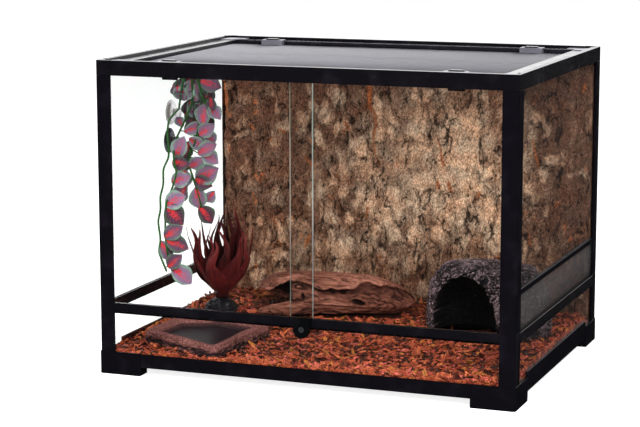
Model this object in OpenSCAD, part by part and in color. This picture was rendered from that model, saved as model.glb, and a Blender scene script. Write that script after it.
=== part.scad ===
// Glass reptile terrarium with sliding front doors, a lift-off mesh lid and its furnishings.
// Millimetres. The origin is on the floor at the middle of the tank, +X is to the right,
// +Y is to the rear and +Z is up.

/* [Tank] */
// Width over the corner posts
tank_w = 600; // [592:1:620]
// Depth over the corner posts
tank_d = 450; // [444:1:470]
// Height from the floor to the top of the rim
tank_h = 440; // [432:1:460]

/* [Frame] */
// Width of each face of a corner post
post_w = 22.5; // [21:0.5:25]
// Wall of the posts and of the rails' outer faces
wall = 3; // [2.5:0.25:3.5]
// Radius of the posts' outer corner
corner_r = 4.5; // [4:0.25:6]
// Length of a foot along each side
foot_len = 61; // [50:1:70]
// Height of a foot
foot_h = 32; // [28:1:36]
// How far a foot stands proud of the post
foot_proud = 1; // [0.5:0.25:2]
// Height of the base rails' underside
base_z = 12.3; // [9:0.1:15]
// Height of the front and rear base rails' faces
base_h = 19.2; // [16:0.1:24]
// Height of the side base rails' faces
base_side_h = 27.2; // [20:0.1:30]
// Thickness of the shelf that carries the glass
shelf_t = 3; // [2.5:0.25:4]
// Height of the front door rail's underside
sill_z = 90; // [86:1:94]
// Height of the front door rail
sill_h = 12; // [11:0.5:14]
// Height of the side and rear middle rails' underside
mid_z = 86; // [82:1:90]
// Height of the side and rear middle rails
mid_h = 15; // [13:0.5:18]
// Height of the top rail's face
top_h = 21; // [19:0.5:25]
// Width of the top rim
rim_w = 9; // [8:0.25:10]
// Thickness of the ledge that carries the lid
ledge_t = 2; // [1.5:0.25:2.5]
// Thickness of the frame's inner lips and webs
lip_t = 2; // [1.5:0.25:2.5]

/* [Glass] */
// Thickness of the fixed panes
pane_t = 4; // [3:0.5:4.5]
// Thickness of the sliding doors
door_t = 4; // [3:0.5:4.5]
// How far the closed doors overlap
door_overlap = 35; // [25:1:45]
// Gap between a door and what it slides along
door_gap = 0.3; // [0.2:0.05:0.4]
// Height of the vent strip on the right
vent_h = 50; // [40:1:60]
// Height of the trim above the vent strip
vent_trim_h = 7; // [6:0.5:9]

/* [Lid] */
// Width of the lid's members
lid_w = 23; // [21:0.5:26]
// Thickness of the lid's members
lid_t = 8; // [7:0.25:9]
// How far the lid lies below the rim
lid_drop = 4; // [3:0.25:5]
// Gap between the lid and the rim
lid_gap = 0.5; // [0.3:0.05:0.8]
// Thickness of the lid's and the vent's net
net_t = 1; // [0.8:0.1:1.4]
// Thickness of the plates on the lid's corners
plate_t = 1.2; // [0.8:0.1:1.6]
// Distance of each latch's middle from the side of the tank
latch_in = 95; // [85:1:110]
// Width of a latch housing
housing_w = 34; // [32:0.5:40]
// Width of a latch slider
slider_w = 23; // [18:0.5:24]
// Travel of a latch slider
latch_travel = 5; // [4:0.25:6]
// How far a latch slider reaches below the lid
slider_drop = 16; // [12:1:22]

/* [Lock] */
// Distance of the lock from the middle
lock_x = 4; // [0:1:10]
// Width of the lock housing
lock_w = 24; // [20:1:28]
// Thickness of the lock housing
lock_t = 6; // [5:0.5:8]
// Height of the lock's axis
lock_z = 87; // [85:0.5:89]
// Radius of the lock cylinder
cylinder_r = 4; // [3:0.25:5]
// Running gap around the lock cylinder
cylinder_gap = 0.05; // [0.03:0.01:0.08]

/* [Furnishings] */
// Mean height of the bark chips' surface
bed_z = 44; // [41:0.5:46]
// Thickness of the cork bark panel
panel_t = 18; // [15:0.5:22]
// Mean width of the plates in the cork bark
bark_w = 27; // [20:1:40]
// Mean height of the plates in the cork bark
bark_h = 44; // [30:1:60]
// Gap between the cork bark panel and the ledge above it
panel_top_gap = 10; // [5:1:25]
// Gap between a furnishing and what it rests on
rest_gap = 0.3; // [0.2:0.05:0.4]
// Height of the water dish
dish_h = 18; // [15:0.5:22]
// Gap between the water dish and the plant's rock
dish_gap = 19; // [16:1:26]
// Width of the driftwood log
log_w = 90; // [82:1:94]
// Height of the driftwood log
log_h = 66; // [60:1:74]
// Gap between the log's left end and the plant's rock
log_gap = 19; // [16:1:30]
// Half of the hide's width
hide_rx = 92; // [85:1:96]
// Half of the hide's depth
hide_ry = 66; // [60:1:72]
// Height of the hide
hide_h = 114; // [100:1:125]
// Radius of the plant's rock
rock_r = 27; // [24:1:29]
// Height of the plant's rock
rock_h = 22; // [18:1:26]
// Height of the broad-leaved plant above its rock
plant_h = 136; // [110:1:150]
// Number of the plant's leaves
plant_leaves_n = 24; // [16:1:28]
// Radius of a suction cup
cup_r = 19; // [16:0.5:21]
// Radius of the vine's stem
stem_r = 2; // [1.6:0.1:2.2]
// Number of leaves on the vine
vine_leaves_n = 36; // [24:1:40]

/* [Hidden] */
$fn = 48;
eps = 0.01;

// Heights
shelf_z = base_z + shelf_t;
sill_top = sill_z + sill_h;
ledge_z = tank_h - lid_drop - lid_t - ledge_t - rest_gap;
ledge_top = ledge_z + ledge_t;
lid_z = tank_h - lid_drop - lid_t;
lid_top = lid_z + lid_t;
top_z = tank_h - top_h;
mid_web_z = mid_z + mid_h / 2 - lip_t / 2;
vent_z = mid_z + mid_h;
trim_z = vent_z + vent_h;
trim_web_z = trim_z + vent_trim_h / 2 - lip_t / 2;

// Distances inward from the tank's outer faces
pane_in = wall + pane_t;
groove_1 = wall + door_gap;
divider = groove_1 + door_t + door_gap;
groove_2 = divider + lip_t + door_gap;
track_in = groove_2 + door_t + door_gap;
track_w = track_in + lip_t;
lid_out = rim_w + lid_gap;
lid_in = lid_out + lid_w;

// Lengths between the posts and between the side panes
rail_w = tank_w - 2 * post_w;
rail_d = tank_d - 2 * post_w;
inner_w = tank_w - 2 * pane_in;
inner_d = tank_d - 2 * pane_in;

// Doors
door_end_gap = 3;
door_w = (inner_w - 2 * door_end_gap + door_overlap) / 2;
track_floor = sill_z + 3.5;
door_z = track_floor + door_gap;
track_web_t = 2;
door_h = ledge_z - track_web_t - 2 * door_gap - door_z;

// Nets
net_slot = 5;
net_z = lid_z + 1.5;
net_cols = 16;
net_rows = 11;
vent_cols = 44;
vent_rows = 3;
net_bar = 3;

// Lock
lock_lip = 1.5;
cylinder_len = lock_t - 0.5;

// Latches
latch_x = tank_w / 2 - latch_in;
slider_z = lid_z - slider_drop;
housing_depth = 10.5;
housing_lap = 6.5;
housing_top = lid_top + 2;
housing_wall = 1.5;
slider_t = 3;
slot_gap = 0.3;
tongue_t = 3;
tongue_z = ledge_z - slot_gap - tongue_t;
stem_in = lid_in + slot_gap + latch_travel;
tongue_tip = post_w + 2;

// Furnishings
panel_gap = lip_t + rest_gap;
floor_z = shelf_z + pane_t;
panel_back = tank_d / 2 - pane_in - panel_gap;
panel_face = panel_back - panel_t;
panel_relief = 4;
chip_relief = 2.2;
panel_h = ledge_z - panel_top_gap - floor_z - rest_gap;
bed_half_w = inner_w / 2 - rest_gap;
bed_front = -inner_d / 2 + rest_gap;
bed_rear = panel_face - panel_relief - rest_gap;
left_face = -inner_w / 2;
right_face = inner_w / 2;
front_face = -inner_d / 2;
hide_wall_gap = 15;
hide_log_gap = 34;
hide_at = [right_face - hide_rx - hide_wall_gap, 35];
plant_at = [left_face + 71, 22];
log_left = plant_at[0] + rock_r + log_gap;
log_right = hide_at[0] - hide_rx - hide_log_gap;
log_len = log_right - log_left;
log_at = [(log_left + log_right) / 2, 72];
log_turn = 13;
dish_pad = bed_z - 12;
dish_len = plant_at[1] - rock_r - dish_gap - front_face;
dish_r = 8;
knob_in = 12;

// The dish's corners and middle from the tank's inner left front corner, as shares of its length
dish_corners = dish_len * [[0.16, 0.361], [0.82, 0.057], [0.902, 0.825], [0.5, 0.959], [0.18, 0.763]];
dish_at = dish_len * [0.531, 0.51];

// Cups on the left glass, each [across, up], and the vine's two strands through their knobs,
// each point [off the left glass, across, up]. What is up is a share of the tank's height.
cup_at = [[3, 0.78], [-4, 0.686]];
strand_a = [
    [12, 3, 0.757], [12, 3, 0.802], [17, 4, 0.845], [27, 4, 0.873], [35, 2, 0.843], [34, -2, 0.773],
    [32, -6, 0.682], [31, -12, 0.591], [30, -18, 0.5], [29, -26, 0.409], [28, -34, 0.318], [27, -40, 0.236]
];
strand_b = [
    [12, -4, 0.711], [12, -4, 0.661], [17, -12, 0.614], [21, -26, 0.545], [21, -44, 0.466],
    [20, -56, 0.398], [21, -52, 0.345], [28, -34, 0.318]
];

// Which sides a corner's name means
corner_side = ["fl", "fr", "rl", "rr"];

function mix(a, b, t) = a + (b - a) * t;
function clamp01(t) = min(1, max(0, t));
// A repeatable number from 0 to 1 for each whole-number place and kind
function chance(i, j, kind) =
    let (n = 43758.5 * sin(i * 127.1 + j * 311.7 + kind * 74.7))
    n - floor(n);
function side_x(corner) = corner[1] == "l" ? -1 : 1;
function side_y(corner) = corner[0] == "f" ? -1 : 1;

// Places children, drawn inward from an outer corner, at one corner of the tank
module at_corner(corner) {
    translate([side_x(corner) * tank_w / 2, side_y(corner) * tank_d / 2, 0])
        mirror([side_x(corner) > 0 ? 1 : 0, 0, 0])
            mirror([0, side_y(corner) > 0 ? 1 : 0, 0])
                children();
}

// Plan of an angle section: two legs and a true arc at the outer corner
module angle_plan(leg, t, r) {
    difference() {
        union() {
            translate([r, r]) circle(r);
            translate([r, 0]) square([leg - r, r]);
            translate([0, r]) square([r, leg - r]);
            translate([r, r]) square(t);
        }
        translate([t, t]) square(leg);
    }
}

// Plan of a square corner plate with the same outer arc
module corner_plan(size, r) {
    translate([r, r]) circle(r);
    translate([r, 0]) square([size - r, r]);
    translate([0, r]) square([size, size - r]);
}

// A straight rail at one side of the tank, from its section's [inward, up] points
module rail(side, length, section) {
    across = side == "front" || side == "rear";
    mirror(side == "rear" ? [0, 1, 0] : side == "right" ? [1, 0, 0] : [0, 0, 0])
        translate(across ? [0, -tank_d / 2, 0] : [-tank_w / 2, 0, 0])
            rotate(across ? [90, 0, 90] : [90, 0, 0])
                linear_extrude(length, center = true) polygon(section);
}

// A box in centred plan coordinates from its lowest corner and its size
module block(low, size) {
    translate(low) cube(size);
}

// One moulding: the foot, the angle over the rails' ends and the lower post
module base_corner(corner) {
    color("black") at_corner(corner) {
        translate([-foot_proud, -foot_proud, 0]) {
            linear_extrude(shelf_z) difference() {
                corner_plan(foot_len + foot_proud, corner_r);
                translate([1, 1] * (post_w + foot_proud)) square(foot_len);
            }
            linear_extrude(foot_h) angle_plan(foot_len + foot_proud, wall + foot_proud, corner_r);
        }
        linear_extrude(sill_top) angle_plan(post_w, wall, corner_r);
    }
}

module post(corner) {
    color("black") at_corner(corner)
        translate([0, 0, sill_top]) linear_extrude(top_z - sill_top) angle_plan(post_w, wall, corner_r);
}

module top_corner(corner) {
    color("black") at_corner(corner) {
        translate([0, 0, top_z]) linear_extrude(tank_h - top_z) angle_plan(post_w, wall, corner_r);
        translate([0, 0, ledge_z]) linear_extrude(tank_h - ledge_z) angle_plan(post_w, rim_w, corner_r);
        translate([0, 0, ledge_z]) linear_extrude(ledge_t) corner_plan(post_w, corner_r);
    }
}

module base_rail(side) {
    across = side == "front" || side == "rear";
    face = across ? base_h : base_side_h;
    color("black") rail(side, (across ? tank_w : tank_d) - 2 * foot_len, [
        [0, base_z], [post_w, base_z], [post_w, shelf_z], [wall, shelf_z],
        [wall, base_z + face], [0, base_z + face]
    ]);
}

// The front rail carries the doors in two grooves and clips over the lower pane
module mid_rail_front() {
    divider_top = sill_top - lip_t;
    color("black") {
        rail("front", rail_w, [[0, sill_z], [wall, sill_z], [wall, sill_top], [0, sill_top]]);
        rail("front", inner_w, [
            [wall, sill_z], [pane_in, sill_z], [pane_in, sill_z - 4], [pane_in + lip_t, sill_z - 4],
            [pane_in + lip_t, sill_z], [track_w, sill_z], [track_w, divider_top],
            [track_in, divider_top], [track_in, track_floor], [divider + lip_t, track_floor],
            [divider + lip_t, divider_top], [divider, divider_top], [divider, track_floor],
            [wall, track_floor]
        ]);
    }
}

// An H section with the lower pane below its web and the upper pane above it
function h_section(z0, z1, web_z, face) = [
    [face, z0], [wall, z0], [wall, web_z], [pane_in, web_z], [pane_in, z0],
    [pane_in + lip_t, z0], [pane_in + lip_t, z1], [pane_in, z1], [pane_in, web_z + lip_t],
    [wall, web_z + lip_t], [wall, z1], [face, z1]
];

module mid_rail(side) {
    across = side == "rear";
    color("black") rail(side, across ? rail_w : rail_d, h_section(mid_z, mid_z + mid_h, mid_web_z, 0));
}

module top_rail(side) {
    across = side == "front" || side == "rear";
    color("black") rail(side, across ? rail_w : rail_d, [
        [0, top_z], [wall, top_z], [wall, ledge_z], [post_w, ledge_z],
        [post_w, ledge_top], [rim_w, ledge_top], [rim_w, tank_h], [0, tank_h]
    ]);
}

// A pane standing against the frame's outer wall on one side
module pane(side, z0, z1) {
    across = side == "front" || side == "rear";
    color("lightblue", 0.35) rail(side, across ? inner_w : tank_d - 2 * wall, [
        [wall, z0], [pane_in, z0], [pane_in, z1], [wall, z1]
    ]);
}

module base_glass() {
    color("lightblue", 0.35) block([left_face, front_face, shelf_z], [inner_w, inner_d, pane_t]);
}

// A flat net with square openings, drawn as a plate's plan
module net_plan(size, border, cols, rows) {
    pitch = [(size[0] - 2 * border[0] + net_bar) / cols, (size[1] - 2 * border[1] + net_bar) / rows];
    difference() {
        square(size, center = true);
        for (i = [0 : cols - 1], j = [0 : rows - 1])
            translate([
                -size[0] / 2 + border[0] + i * pitch[0],
                -size[1] / 2 + border[1] + j * pitch[1]
            ]) square([pitch[0] - net_bar, pitch[1] - net_bar]);
    }
}

module vent_mesh() {
    net_low = mid_web_z + lip_t;
    net_h = trim_web_z - net_low;
    color("dimgray") translate([tank_w / 2 - wall - pane_t / 2, 0, net_low + net_h / 2])
        rotate([90, 0, 90]) linear_extrude(net_t, center = true)
            net_plan([tank_d - 2 * wall, net_h], [14, 7], vent_cols, vent_rows);
}

module vent_trim() {
    color("black") rail("right", rail_d, h_section(trim_z, trim_z + vent_trim_h, trim_web_z, 1));
}

// The top track hangs under the ledge and keeps both doors upright
module door_track_top() {
    color("black") rail("front", inner_w, [
        [wall, ledge_z - track_web_t], [divider, ledge_z - track_web_t], [divider, top_z],
        [divider + lip_t, top_z], [divider + lip_t, ledge_z - track_web_t],
        [track_in, ledge_z - track_web_t], [track_in, top_z], [track_w, top_z],
        [track_w, ledge_z], [wall, ledge_z]
    ]);
}

module door_left() {
    color("lightblue", 0.35)
        block([left_face + door_end_gap, -tank_d / 2 + groove_1, door_z], [door_w, door_t, door_h]);
}

module door_right() {
    color("lightblue", 0.35)
        block([right_face - door_end_gap - door_w, -tank_d / 2 + groove_2, door_z],
            [door_w, door_t, door_h]);
}

// Places children, drawn in [right, up] with thickness forward, on the front rail's face
module on_lock(back) {
    translate([lock_x, -tank_d / 2 - back, 0]) rotate([90, 0, 0]) children();
}

// A shield-shaped housing with a rounded lower end and a lip over the rail's top
module lock_housing() {
    color("black") difference() {
        union() {
            on_lock(0) linear_extrude(lock_t) {
                translate([0, lock_z]) circle(lock_w / 2);
                translate([-lock_w / 2, lock_z]) square([lock_w, sill_top + lock_lip - lock_z]);
            }
            block([lock_x - lock_w / 2, -tank_d / 2 - eps, sill_top], [lock_w, wall + eps, lock_lip]);
        }
        on_lock(lock_t - cylinder_len) translate([0, lock_z, 0])
            cylinder(h = lock_t, r = cylinder_r + cylinder_gap);
    }
}

module lock_cylinder() {
    key_w = 1;
    key_h = 4.5;
    color("silver") difference() {
        on_lock(lock_t - cylinder_len + cylinder_gap) translate([0, lock_z, 0])
            cylinder(h = cylinder_len, r = cylinder_r);
        on_lock(lock_t - 2) translate([-key_w / 2, lock_z - key_h / 2, 0]) cube([key_w, key_h, 4]);
    }
}

// One lid member with mitred ends and a slot for the net's edge
module lid_rail(side) {
    across = side == "front" || side == "rear";
    half = (across ? tank_w : tank_d) / 2 - lid_out;
    depth = (across ? tank_d : tank_w) / 2;
    turn = side == "front" ? 0 : side == "right" ? 90 : side == "rear" ? 180 : 270;
    color("black") intersection() {
        rail(side, 2 * half, [
            [lid_out, lid_z], [lid_in, lid_z], [lid_in, net_z], [lid_in - net_slot, net_z],
            [lid_in - net_slot, net_z + net_t], [lid_in, net_z + net_t], [lid_in, lid_top],
            [lid_out, lid_top]
        ]);
        rotate(turn) translate([0, 0, lid_z - 1]) linear_extrude(lid_t + 2) polygon([
            [-half, -depth + lid_out], [half, -depth + lid_out],
            [half - lid_w, -depth + lid_in], [-half + lid_w, -depth + lid_in]
        ]);
    }
}

// Thin plates that tie the lid's mitres together
module lid_corners() {
    arm = 34;
    broad = 19;
    chamfer = 8;
    color("dimgray") for (corner = corner_side) at_corner(corner)
        translate([lid_out + 1, lid_out + 1, lid_top]) linear_extrude(plate_t) polygon([
            [0, 0], [arm, 0], [arm, broad], [broad + chamfer, broad], [broad, broad + chamfer],
            [broad, arm], [0, arm]
        ]);
}

// Places children, drawn at the front edge, at one latch
module at_latch(end, hand) {
    mirror([0, end == "rear" ? 1 : 0, 0])
        translate([(hand == "left" ? -1 : 1) * latch_x, -tank_d / 2, 0]) children();
}

module lid_mesh() {
    net_size = [tank_w - 2 * (lid_in - net_slot), tank_d - 2 * (lid_in - net_slot)];
    notch_w = housing_w + 2 * slot_gap;
    notch_in = lid_in + housing_depth + slot_gap;
    color("dimgray") difference() {
        translate([0, 0, net_z]) linear_extrude(net_t)
            net_plan(net_size, [net_slot + 4, notch_in - lid_in + net_slot + 4], net_cols, net_rows);
        for (end = ["front", "rear"], hand = ["left", "right"]) at_latch(end, hand)
            block([-notch_w / 2, 0, net_z - 1], [notch_w, notch_in, net_t + 2]);
    }
}

// The fixed half of each latch: a sleeve behind the lid member with a flange over its top
module latch_housings() {
    slot_w = slider_w + 2 * slot_gap;
    color("dimgray") for (end = ["front", "rear"], hand = ["left", "right"]) at_latch(end, hand)
        difference() {
            union() {
                block([-housing_w / 2, lid_in, lid_z], [housing_w, housing_depth, housing_top - lid_z]);
                block([-housing_w / 2, lid_in - housing_lap, lid_top],
                    [housing_w, housing_lap + 1, housing_top - lid_top]);
            }
            block([-slot_w / 2, lid_in, lid_z - 1],
                [slot_w, housing_depth - housing_wall, housing_top - lid_z + 2]);
        }
}

// The moving half: a stem in the sleeve, a thumb pad above and a tongue that slides under the ledge
module latch(end, hand) {
    pad_w = slider_w - 5;
    pad_in = stem_in - 5;
    color("dimgray") at_latch(end, hand) {
        block([-slider_w / 2, stem_in, slider_z],
            [slider_w, slider_t, housing_top + slot_gap - slider_z]);
        block([-slider_w / 2, tongue_tip, tongue_z], [slider_w, stem_in + 1 - tongue_tip, tongue_t]);
        block([-pad_w / 2, pad_in, housing_top + slot_gap], [pad_w, stem_in + slider_t - pad_in, 1.5]);
    }
}

// A closed solid under a grid of heights: top(i, j) points over a flat underside or back
module height_solid(top, centre, cols, rows) {
    n = (cols + 1) * (rows + 1);
    edge = concat(
        [for (i = [0 : cols - 1]) i],
        [for (j = [0 : rows - 1]) j * (cols + 1) + cols],
        [for (i = [cols : -1 : 1]) rows * (cols + 1) + i],
        [for (j = [rows : -1 : 1]) j * (cols + 1)]
    );
    m = len(edge);
    low = [for (e = edge) [top[e][0], top[e][1], centre[2]]];
    polyhedron(
        points = concat(top, low, [centre]),
        faces = concat(
            [for (j = [0 : rows - 1], i = [0 : cols - 1]) let (a = j * (cols + 1) + i)
                each [[a, a + cols + 1, a + cols + 2], [a, a + cols + 2, a + 1]]],
            [for (k = [0 : m - 1]) let (q = (k + 1) % m)
                each [[edge[k], edge[q], n + q], [edge[k], n + q, n + k]]],
            [for (k = [0 : m - 1]) [n + k, n + (k + 1) % m, n + m]]
        ),
        convexity = 6
    );
}

// How much a furnishing's level pad takes over from the loose surface at a point
function pad_share(x, y, at, reach) =
    clamp01(2 - (max(abs(x - at[0]) - reach[0], abs(y - at[1]) - reach[1])) / 14);

// Distance from a point, counted from the tank's inner corner, to the dish's five-sided plan
function dish_distance(u, v) = max([
    for (i = [0 : len(dish_corners) - 1])
        let (a = dish_corners[i], d = dish_corners[(i + 1) % len(dish_corners)] - a)
        ((u - a[0]) * d[1] - (v - a[1]) * d[0]) / norm(d)
]);

// The chips' jagged surface: low at the left front, with level pads under the furnishings
function bed_height(x, y) =
    let (u = x - left_face, v = y - front_face,
        low = 9 * clamp01(1.6 * (0.84 - u / dish_len)) * clamp01(1.21 * (1.227 - v / dish_len))
            + 3 * clamp01(3.2 * (0.35 - v / dish_len)),
        loose = bed_z - 1 - low + chip_relief * (2 * chance(round(x), round(y), 4) - 1),
        dish = clamp01(1 - (dish_distance(u, v) - dish_r - 17) / 14),
        hide = pad_share(x, y, hide_at, [hide_rx + 6, hide_ry + 6]),
        log = pad_share(x, y, log_at, [log_len / 2, log_w * 0.73]),
        rock = pad_share(x, y, plant_at, [rock_r + 2, rock_r + 2]))
    mix(mix(loose, bed_z, max(hide, log, rock)), dish_pad, dish);

module substrate_bed() {
    cols = 56;
    rows = 40;
    bed_d = bed_rear - bed_front;
    color("sienna") height_solid(
        [for (j = [0 : rows], i = [0 : cols])
            let (x = -bed_half_w + 2 * bed_half_w * i / cols, y = bed_front + bed_d * j / rows)
            [x, y, bed_height(x, y)]],
        [0, (bed_front + bed_rear) / 2, floor_z + rest_gap], cols, rows);
}

// The cork bark's height from -1 to 1: plates of many levels about scattered middles, and the
// crevices where a point is nearly as close to the second middle as to the first
function bark_rise(x, y) =
    let (u = (x + 6 * sin(y * 3.1)) / bark_w, v = (y + 7 * sin(x * 2.7)) / bark_h,
        middles = [for (i = [floor(u) - 1 : floor(u) + 1], j = [floor(v) - 2 : floor(v) + 1])
            [norm([u - i - 0.15 - 0.7 * chance(i, j, 1), v - j - chance(i, j, 2) - 0.5 * abs(i % 2)]),
                chance(i, j, 3)]],
        first = min([for (m = middles) m[0]]),
        second = min([for (m = middles) if (m[0] > first) m[0]]),
        level = [for (m = middles) if (m[0] == first) m[1]][0])
    mix(-1, 0.2 + 0.8 * level, clamp01((second - first) / 0.4));

// A cork bark panel standing in front of the rear glass
module background_panel() {
    cols = 60;
    rows = 42;
    panel_w = inner_w - 2 * panel_gap;
    color("tan") translate([0, panel_back, floor_z + rest_gap]) rotate([90, 0, 0]) height_solid(
        [for (j = [0 : rows], i = [0 : cols])
            let (x = -panel_w / 2 + panel_w * i / cols, y = panel_h * j / rows)
            [x, y, panel_t + panel_relief * bark_rise(x, y)]],
        [0, panel_h / 2, 0], cols, rows);
}

// A thin slice across the log: a rounded polygon of the given half width between two heights
module log_slice(x, y, half_w, z0, z1) {
    translate([x, y, 0]) rotate([90, 0, 90]) linear_extrude(0.5) polygon([
        for (a = [0 : 30 : 330]) [
            half_w * cos(a) * (1 + 0.06 * sin(a * 3 + x * 4)),
            mix(z0, z1, 0.5 + 0.5 * sin(a) * (a > 180 ? 1 : 1 - 0.12 * pow(cos(a * 2), 2)))
        ]
    ]);
}

// Joins successive slices, each [along, across, half width, low, high] as shares of half the
// log's length, half its width twice, and its height twice
module log_chain(slices) {
    reach = [log_len / 2 - 0.5, log_w / 2, log_w / 2, log_h, log_h];
    for (i = [0 : len(slices) - 2]) hull() for (s = [slices[i], slices[i + 1]])
        log_slice(s[0] * reach[0], s[1] * reach[1], s[2] * reach[2], s[3] * reach[3], s[4] * reach[4]);
}

// Driftwood: a long body that overhangs a hollow at its left, over two lower tongues
module driftwood_log() {
    body = [
        [-1, 0.22, 0.33, 0.45, 0.76], [-0.8, 0.13, 0.71, 0.36, 0.91], [-0.5, 0.04, 0.93, 0.21, 0.98],
        [-0.25, 0, 1, 0, 1], [0.15, -0.04, 0.98, 0, 0.97], [0.5, 0, 0.89, 0, 0.88],
        [0.78, 0.07, 0.67, 0.03, 0.73], [1, 0.13, 0.27, 0.15, 0.45]
    ];
    front_tongue = [
        [-0.98, -0.58, 0.2, 0, 0.14], [-0.75, -0.6, 0.36, 0, 0.26], [-0.45, -0.49, 0.49, 0, 0.39],
        [-0.1, -0.27, 0.62, 0, 0.52]
    ];
    rear_tongue = [
        [-0.78, 0.57, 0.16, 0, 0.11], [-0.6, 0.58, 0.29, 0, 0.21], [-0.36, 0.55, 0.39, 0, 0.31],
        [-0.08, 0.48, 0.5, 0, 0.42]
    ];
    color("saddlebrown") translate([log_at[0], log_at[1], bed_z + rest_gap]) rotate(log_turn)
        for (slices = [body, front_tongue, rear_tongue]) log_chain(slices);
}

// A rocky dome on a flat base: rings that swell and shrink with slow waves, closed by a flat cap
module rock_dome(rx, ry, h, sides, levels, wave) {
    function ring(k) = pow(1 - pow(k / levels * 0.97, 2.4), 1 / 2.4);
    function swell(a, k) = 1 + wave * sin(a * 3 + k * 31) * 0.6 + wave * sin(a * 7 - k * 53) * 0.4;
    points = [for (k = [0 : levels], a = [0 : 360 / sides : 359])
        [rx * ring(k) * swell(a, k) * cos(a), ry * ring(k) * swell(a, k) * sin(a), h * k / levels]];
    polyhedron(
        points = concat(points, [[0, 0, 0], [0, 0, h]]),
        faces = concat(
            [for (k = [0 : levels - 1], i = [0 : sides - 1])
                let (a = k * sides + i, b = k * sides + (i + 1) % sides)
                each [[a, a + sides, b + sides], [a, b + sides, b]]],
            [for (i = [0 : sides - 1]) [i, (i + 1) % sides, len(points)]],
            [for (i = [0 : sides - 1])
                [levels * sides + (i + 1) % sides, levels * sides + i, len(points) + 1]]
        ),
        convexity = 6
    );
}

// A thin upright slice of the hide's arched cavity
module arch_slice(y, x, half_w, h) {
    translate([x, y, 0]) rotate([90, 0, 0]) linear_extrude(0.5) polygon(concat(
        [[half_w, -2], [-half_w, -2]],
        [for (a = [180 : -22.5 : 0])
            [half_w * cos(a) * (0.94 + 0.06 * cos(a * 2)), h * (0.25 + 0.75 * sin(a))]]
    ));
}

module cave_hide() {
    front = -hide_ry - 8;
    mouth_w = 46;
    mouth_h = 84;
    cavity = [
        [front, -20, mouth_w + 4, mouth_h + 4], [-0.75 * hide_ry, -20, mouth_w, mouth_h],
        [-0.5 * hide_ry, -19, mouth_w + 1, mouth_h], [-0.25 * hide_ry, -15, mouth_w + 6, mouth_h + 2],
        [0, -10, mouth_w + 11, mouth_h + 2], [0.25 * hide_ry, -6, mouth_w + 12, mouth_h],
        [0.5 * hide_ry, -4, mouth_w + 9, mouth_h - 4], [0.65 * hide_ry, -2, mouth_w + 2, mouth_h - 12],
        [0.76 * hide_ry, 0, mouth_w - 12, mouth_h - 28]
    ];
    color("dimgray") translate([hide_at[0], hide_at[1], bed_z + rest_gap]) difference() {
        rock_dome(hide_rx, hide_ry, hide_h, 30, 11, 0.05);
        for (i = [0 : len(cavity) - 2]) hull() {
            arch_slice(cavity[i][0], cavity[i][1], cavity[i][2], cavity[i][3]);
            arch_slice(cavity[i + 1][0], cavity[i + 1][1], cavity[i + 1][2], cavity[i + 1][3]);
        }
    }
}

// A five-sided rock dish with sloping walls and a flat-bottomed basin
module water_dish() {
    rim = 17;
    basin_floor = 6;
    color("rosybrown") translate([left_face, front_face, dish_pad + rest_gap]) difference() {
        hull() for (c = dish_corners) translate(c)
            cylinder(h = dish_h, r1 = dish_r, r2 = dish_r - 3, $fn = 12);
        hull() for (c = dish_corners) let (d = dish_at - c, inner = c + d * rim / norm(d))
            translate([inner[0], inner[1], basin_floor]) cylinder(h = dish_h, r1 = 4, r2 = dish_r, $fn = 12);
    }
}

module plant_rock() {
    color("dimgray") translate([plant_at[0], plant_at[1], bed_z + rest_gap])
        rock_dome(rock_r, rock_r, rock_h, 14, 5, 0.08);
}

// A leaf's thin lens-shaped section at a share of its length
module leaf_slice(radius, height, lean, half_w, half_t) {
    translate([radius, 0, height]) rotate([0, lean, 0]) linear_extrude(0.3)
        polygon([[-half_t, 0], [0, -half_w], [half_t, 0], [0, half_w]]);
}

// Broad pointed leaves in a spiral: narrow at the crown, bellied out, then upright at the tip
module plant_leaves() {
    crown_r = 10;
    crown_h = 16;
    shares = [0, 0.22, 0.45, 0.72, 1];
    widths = [7, 10.5, 11, 7, 0.8];
    color("darkred") translate([plant_at[0], plant_at[1], bed_z + 2 * rest_gap + rock_h]) {
        cylinder(h = crown_h, r1 = crown_r, r2 = crown_r - 2, $fn = 14);
        for (i = [0 : plant_leaves_n - 1]) rotate(i * 137.5) {
            outward = sqrt((i + 0.5) / plant_leaves_n);
            reach = 8 + 34 * outward;
            length = plant_h - 0.34 * plant_h * pow(outward, 2) - 5 * (i % 3);
            for (k = [0 : len(shares) - 2]) hull() for (s = [k, k + 1])
                leaf_slice(
                    3 + reach * sin(min(90, shares[s] * 150)) + 5 * outward * pow(shares[s], 3),
                    crown_h * 0.4 + (length - crown_h * 0.4) * pow(shares[s], 1.15),
                    (1 - shares[s]) * 28 * outward, widths[s], 1.6 - shares[s]);
        }
    }
}

// A strand's points in millimetres
function hung(points) = [for (p = points) [p[0], p[1], p[2] * tank_h]];

module strand(points) {
    for (i = [0 : len(points) - 2]) hull() {
        translate(points[i]) sphere(stem_r, $fn = 6);
        translate(points[i + 1]) sphere(stem_r, $fn = 6);
    }
}

// An ovate leaf blade that starts on the stem and droops
module vine_leaf(azimuth, droop, length) {
    blade = [
        [0, -0.06], [0.2, -0.26], [0.45, -0.32], [0.75, -0.2], [1, 0],
        [0.75, 0.2], [0.45, 0.32], [0.2, 0.26], [0, 0.06]
    ];
    rotate([0, 0, azimuth]) rotate([0, droop, 0])
        linear_extrude(1, center = true) polygon(length * blade);
}

// A point at a share of the way along a strand, counted over its points
function along(points, share) =
    let (t = share * (len(points) - 1.001), k = floor(t)) mix(points[k], points[k + 1], t - k);

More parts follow.
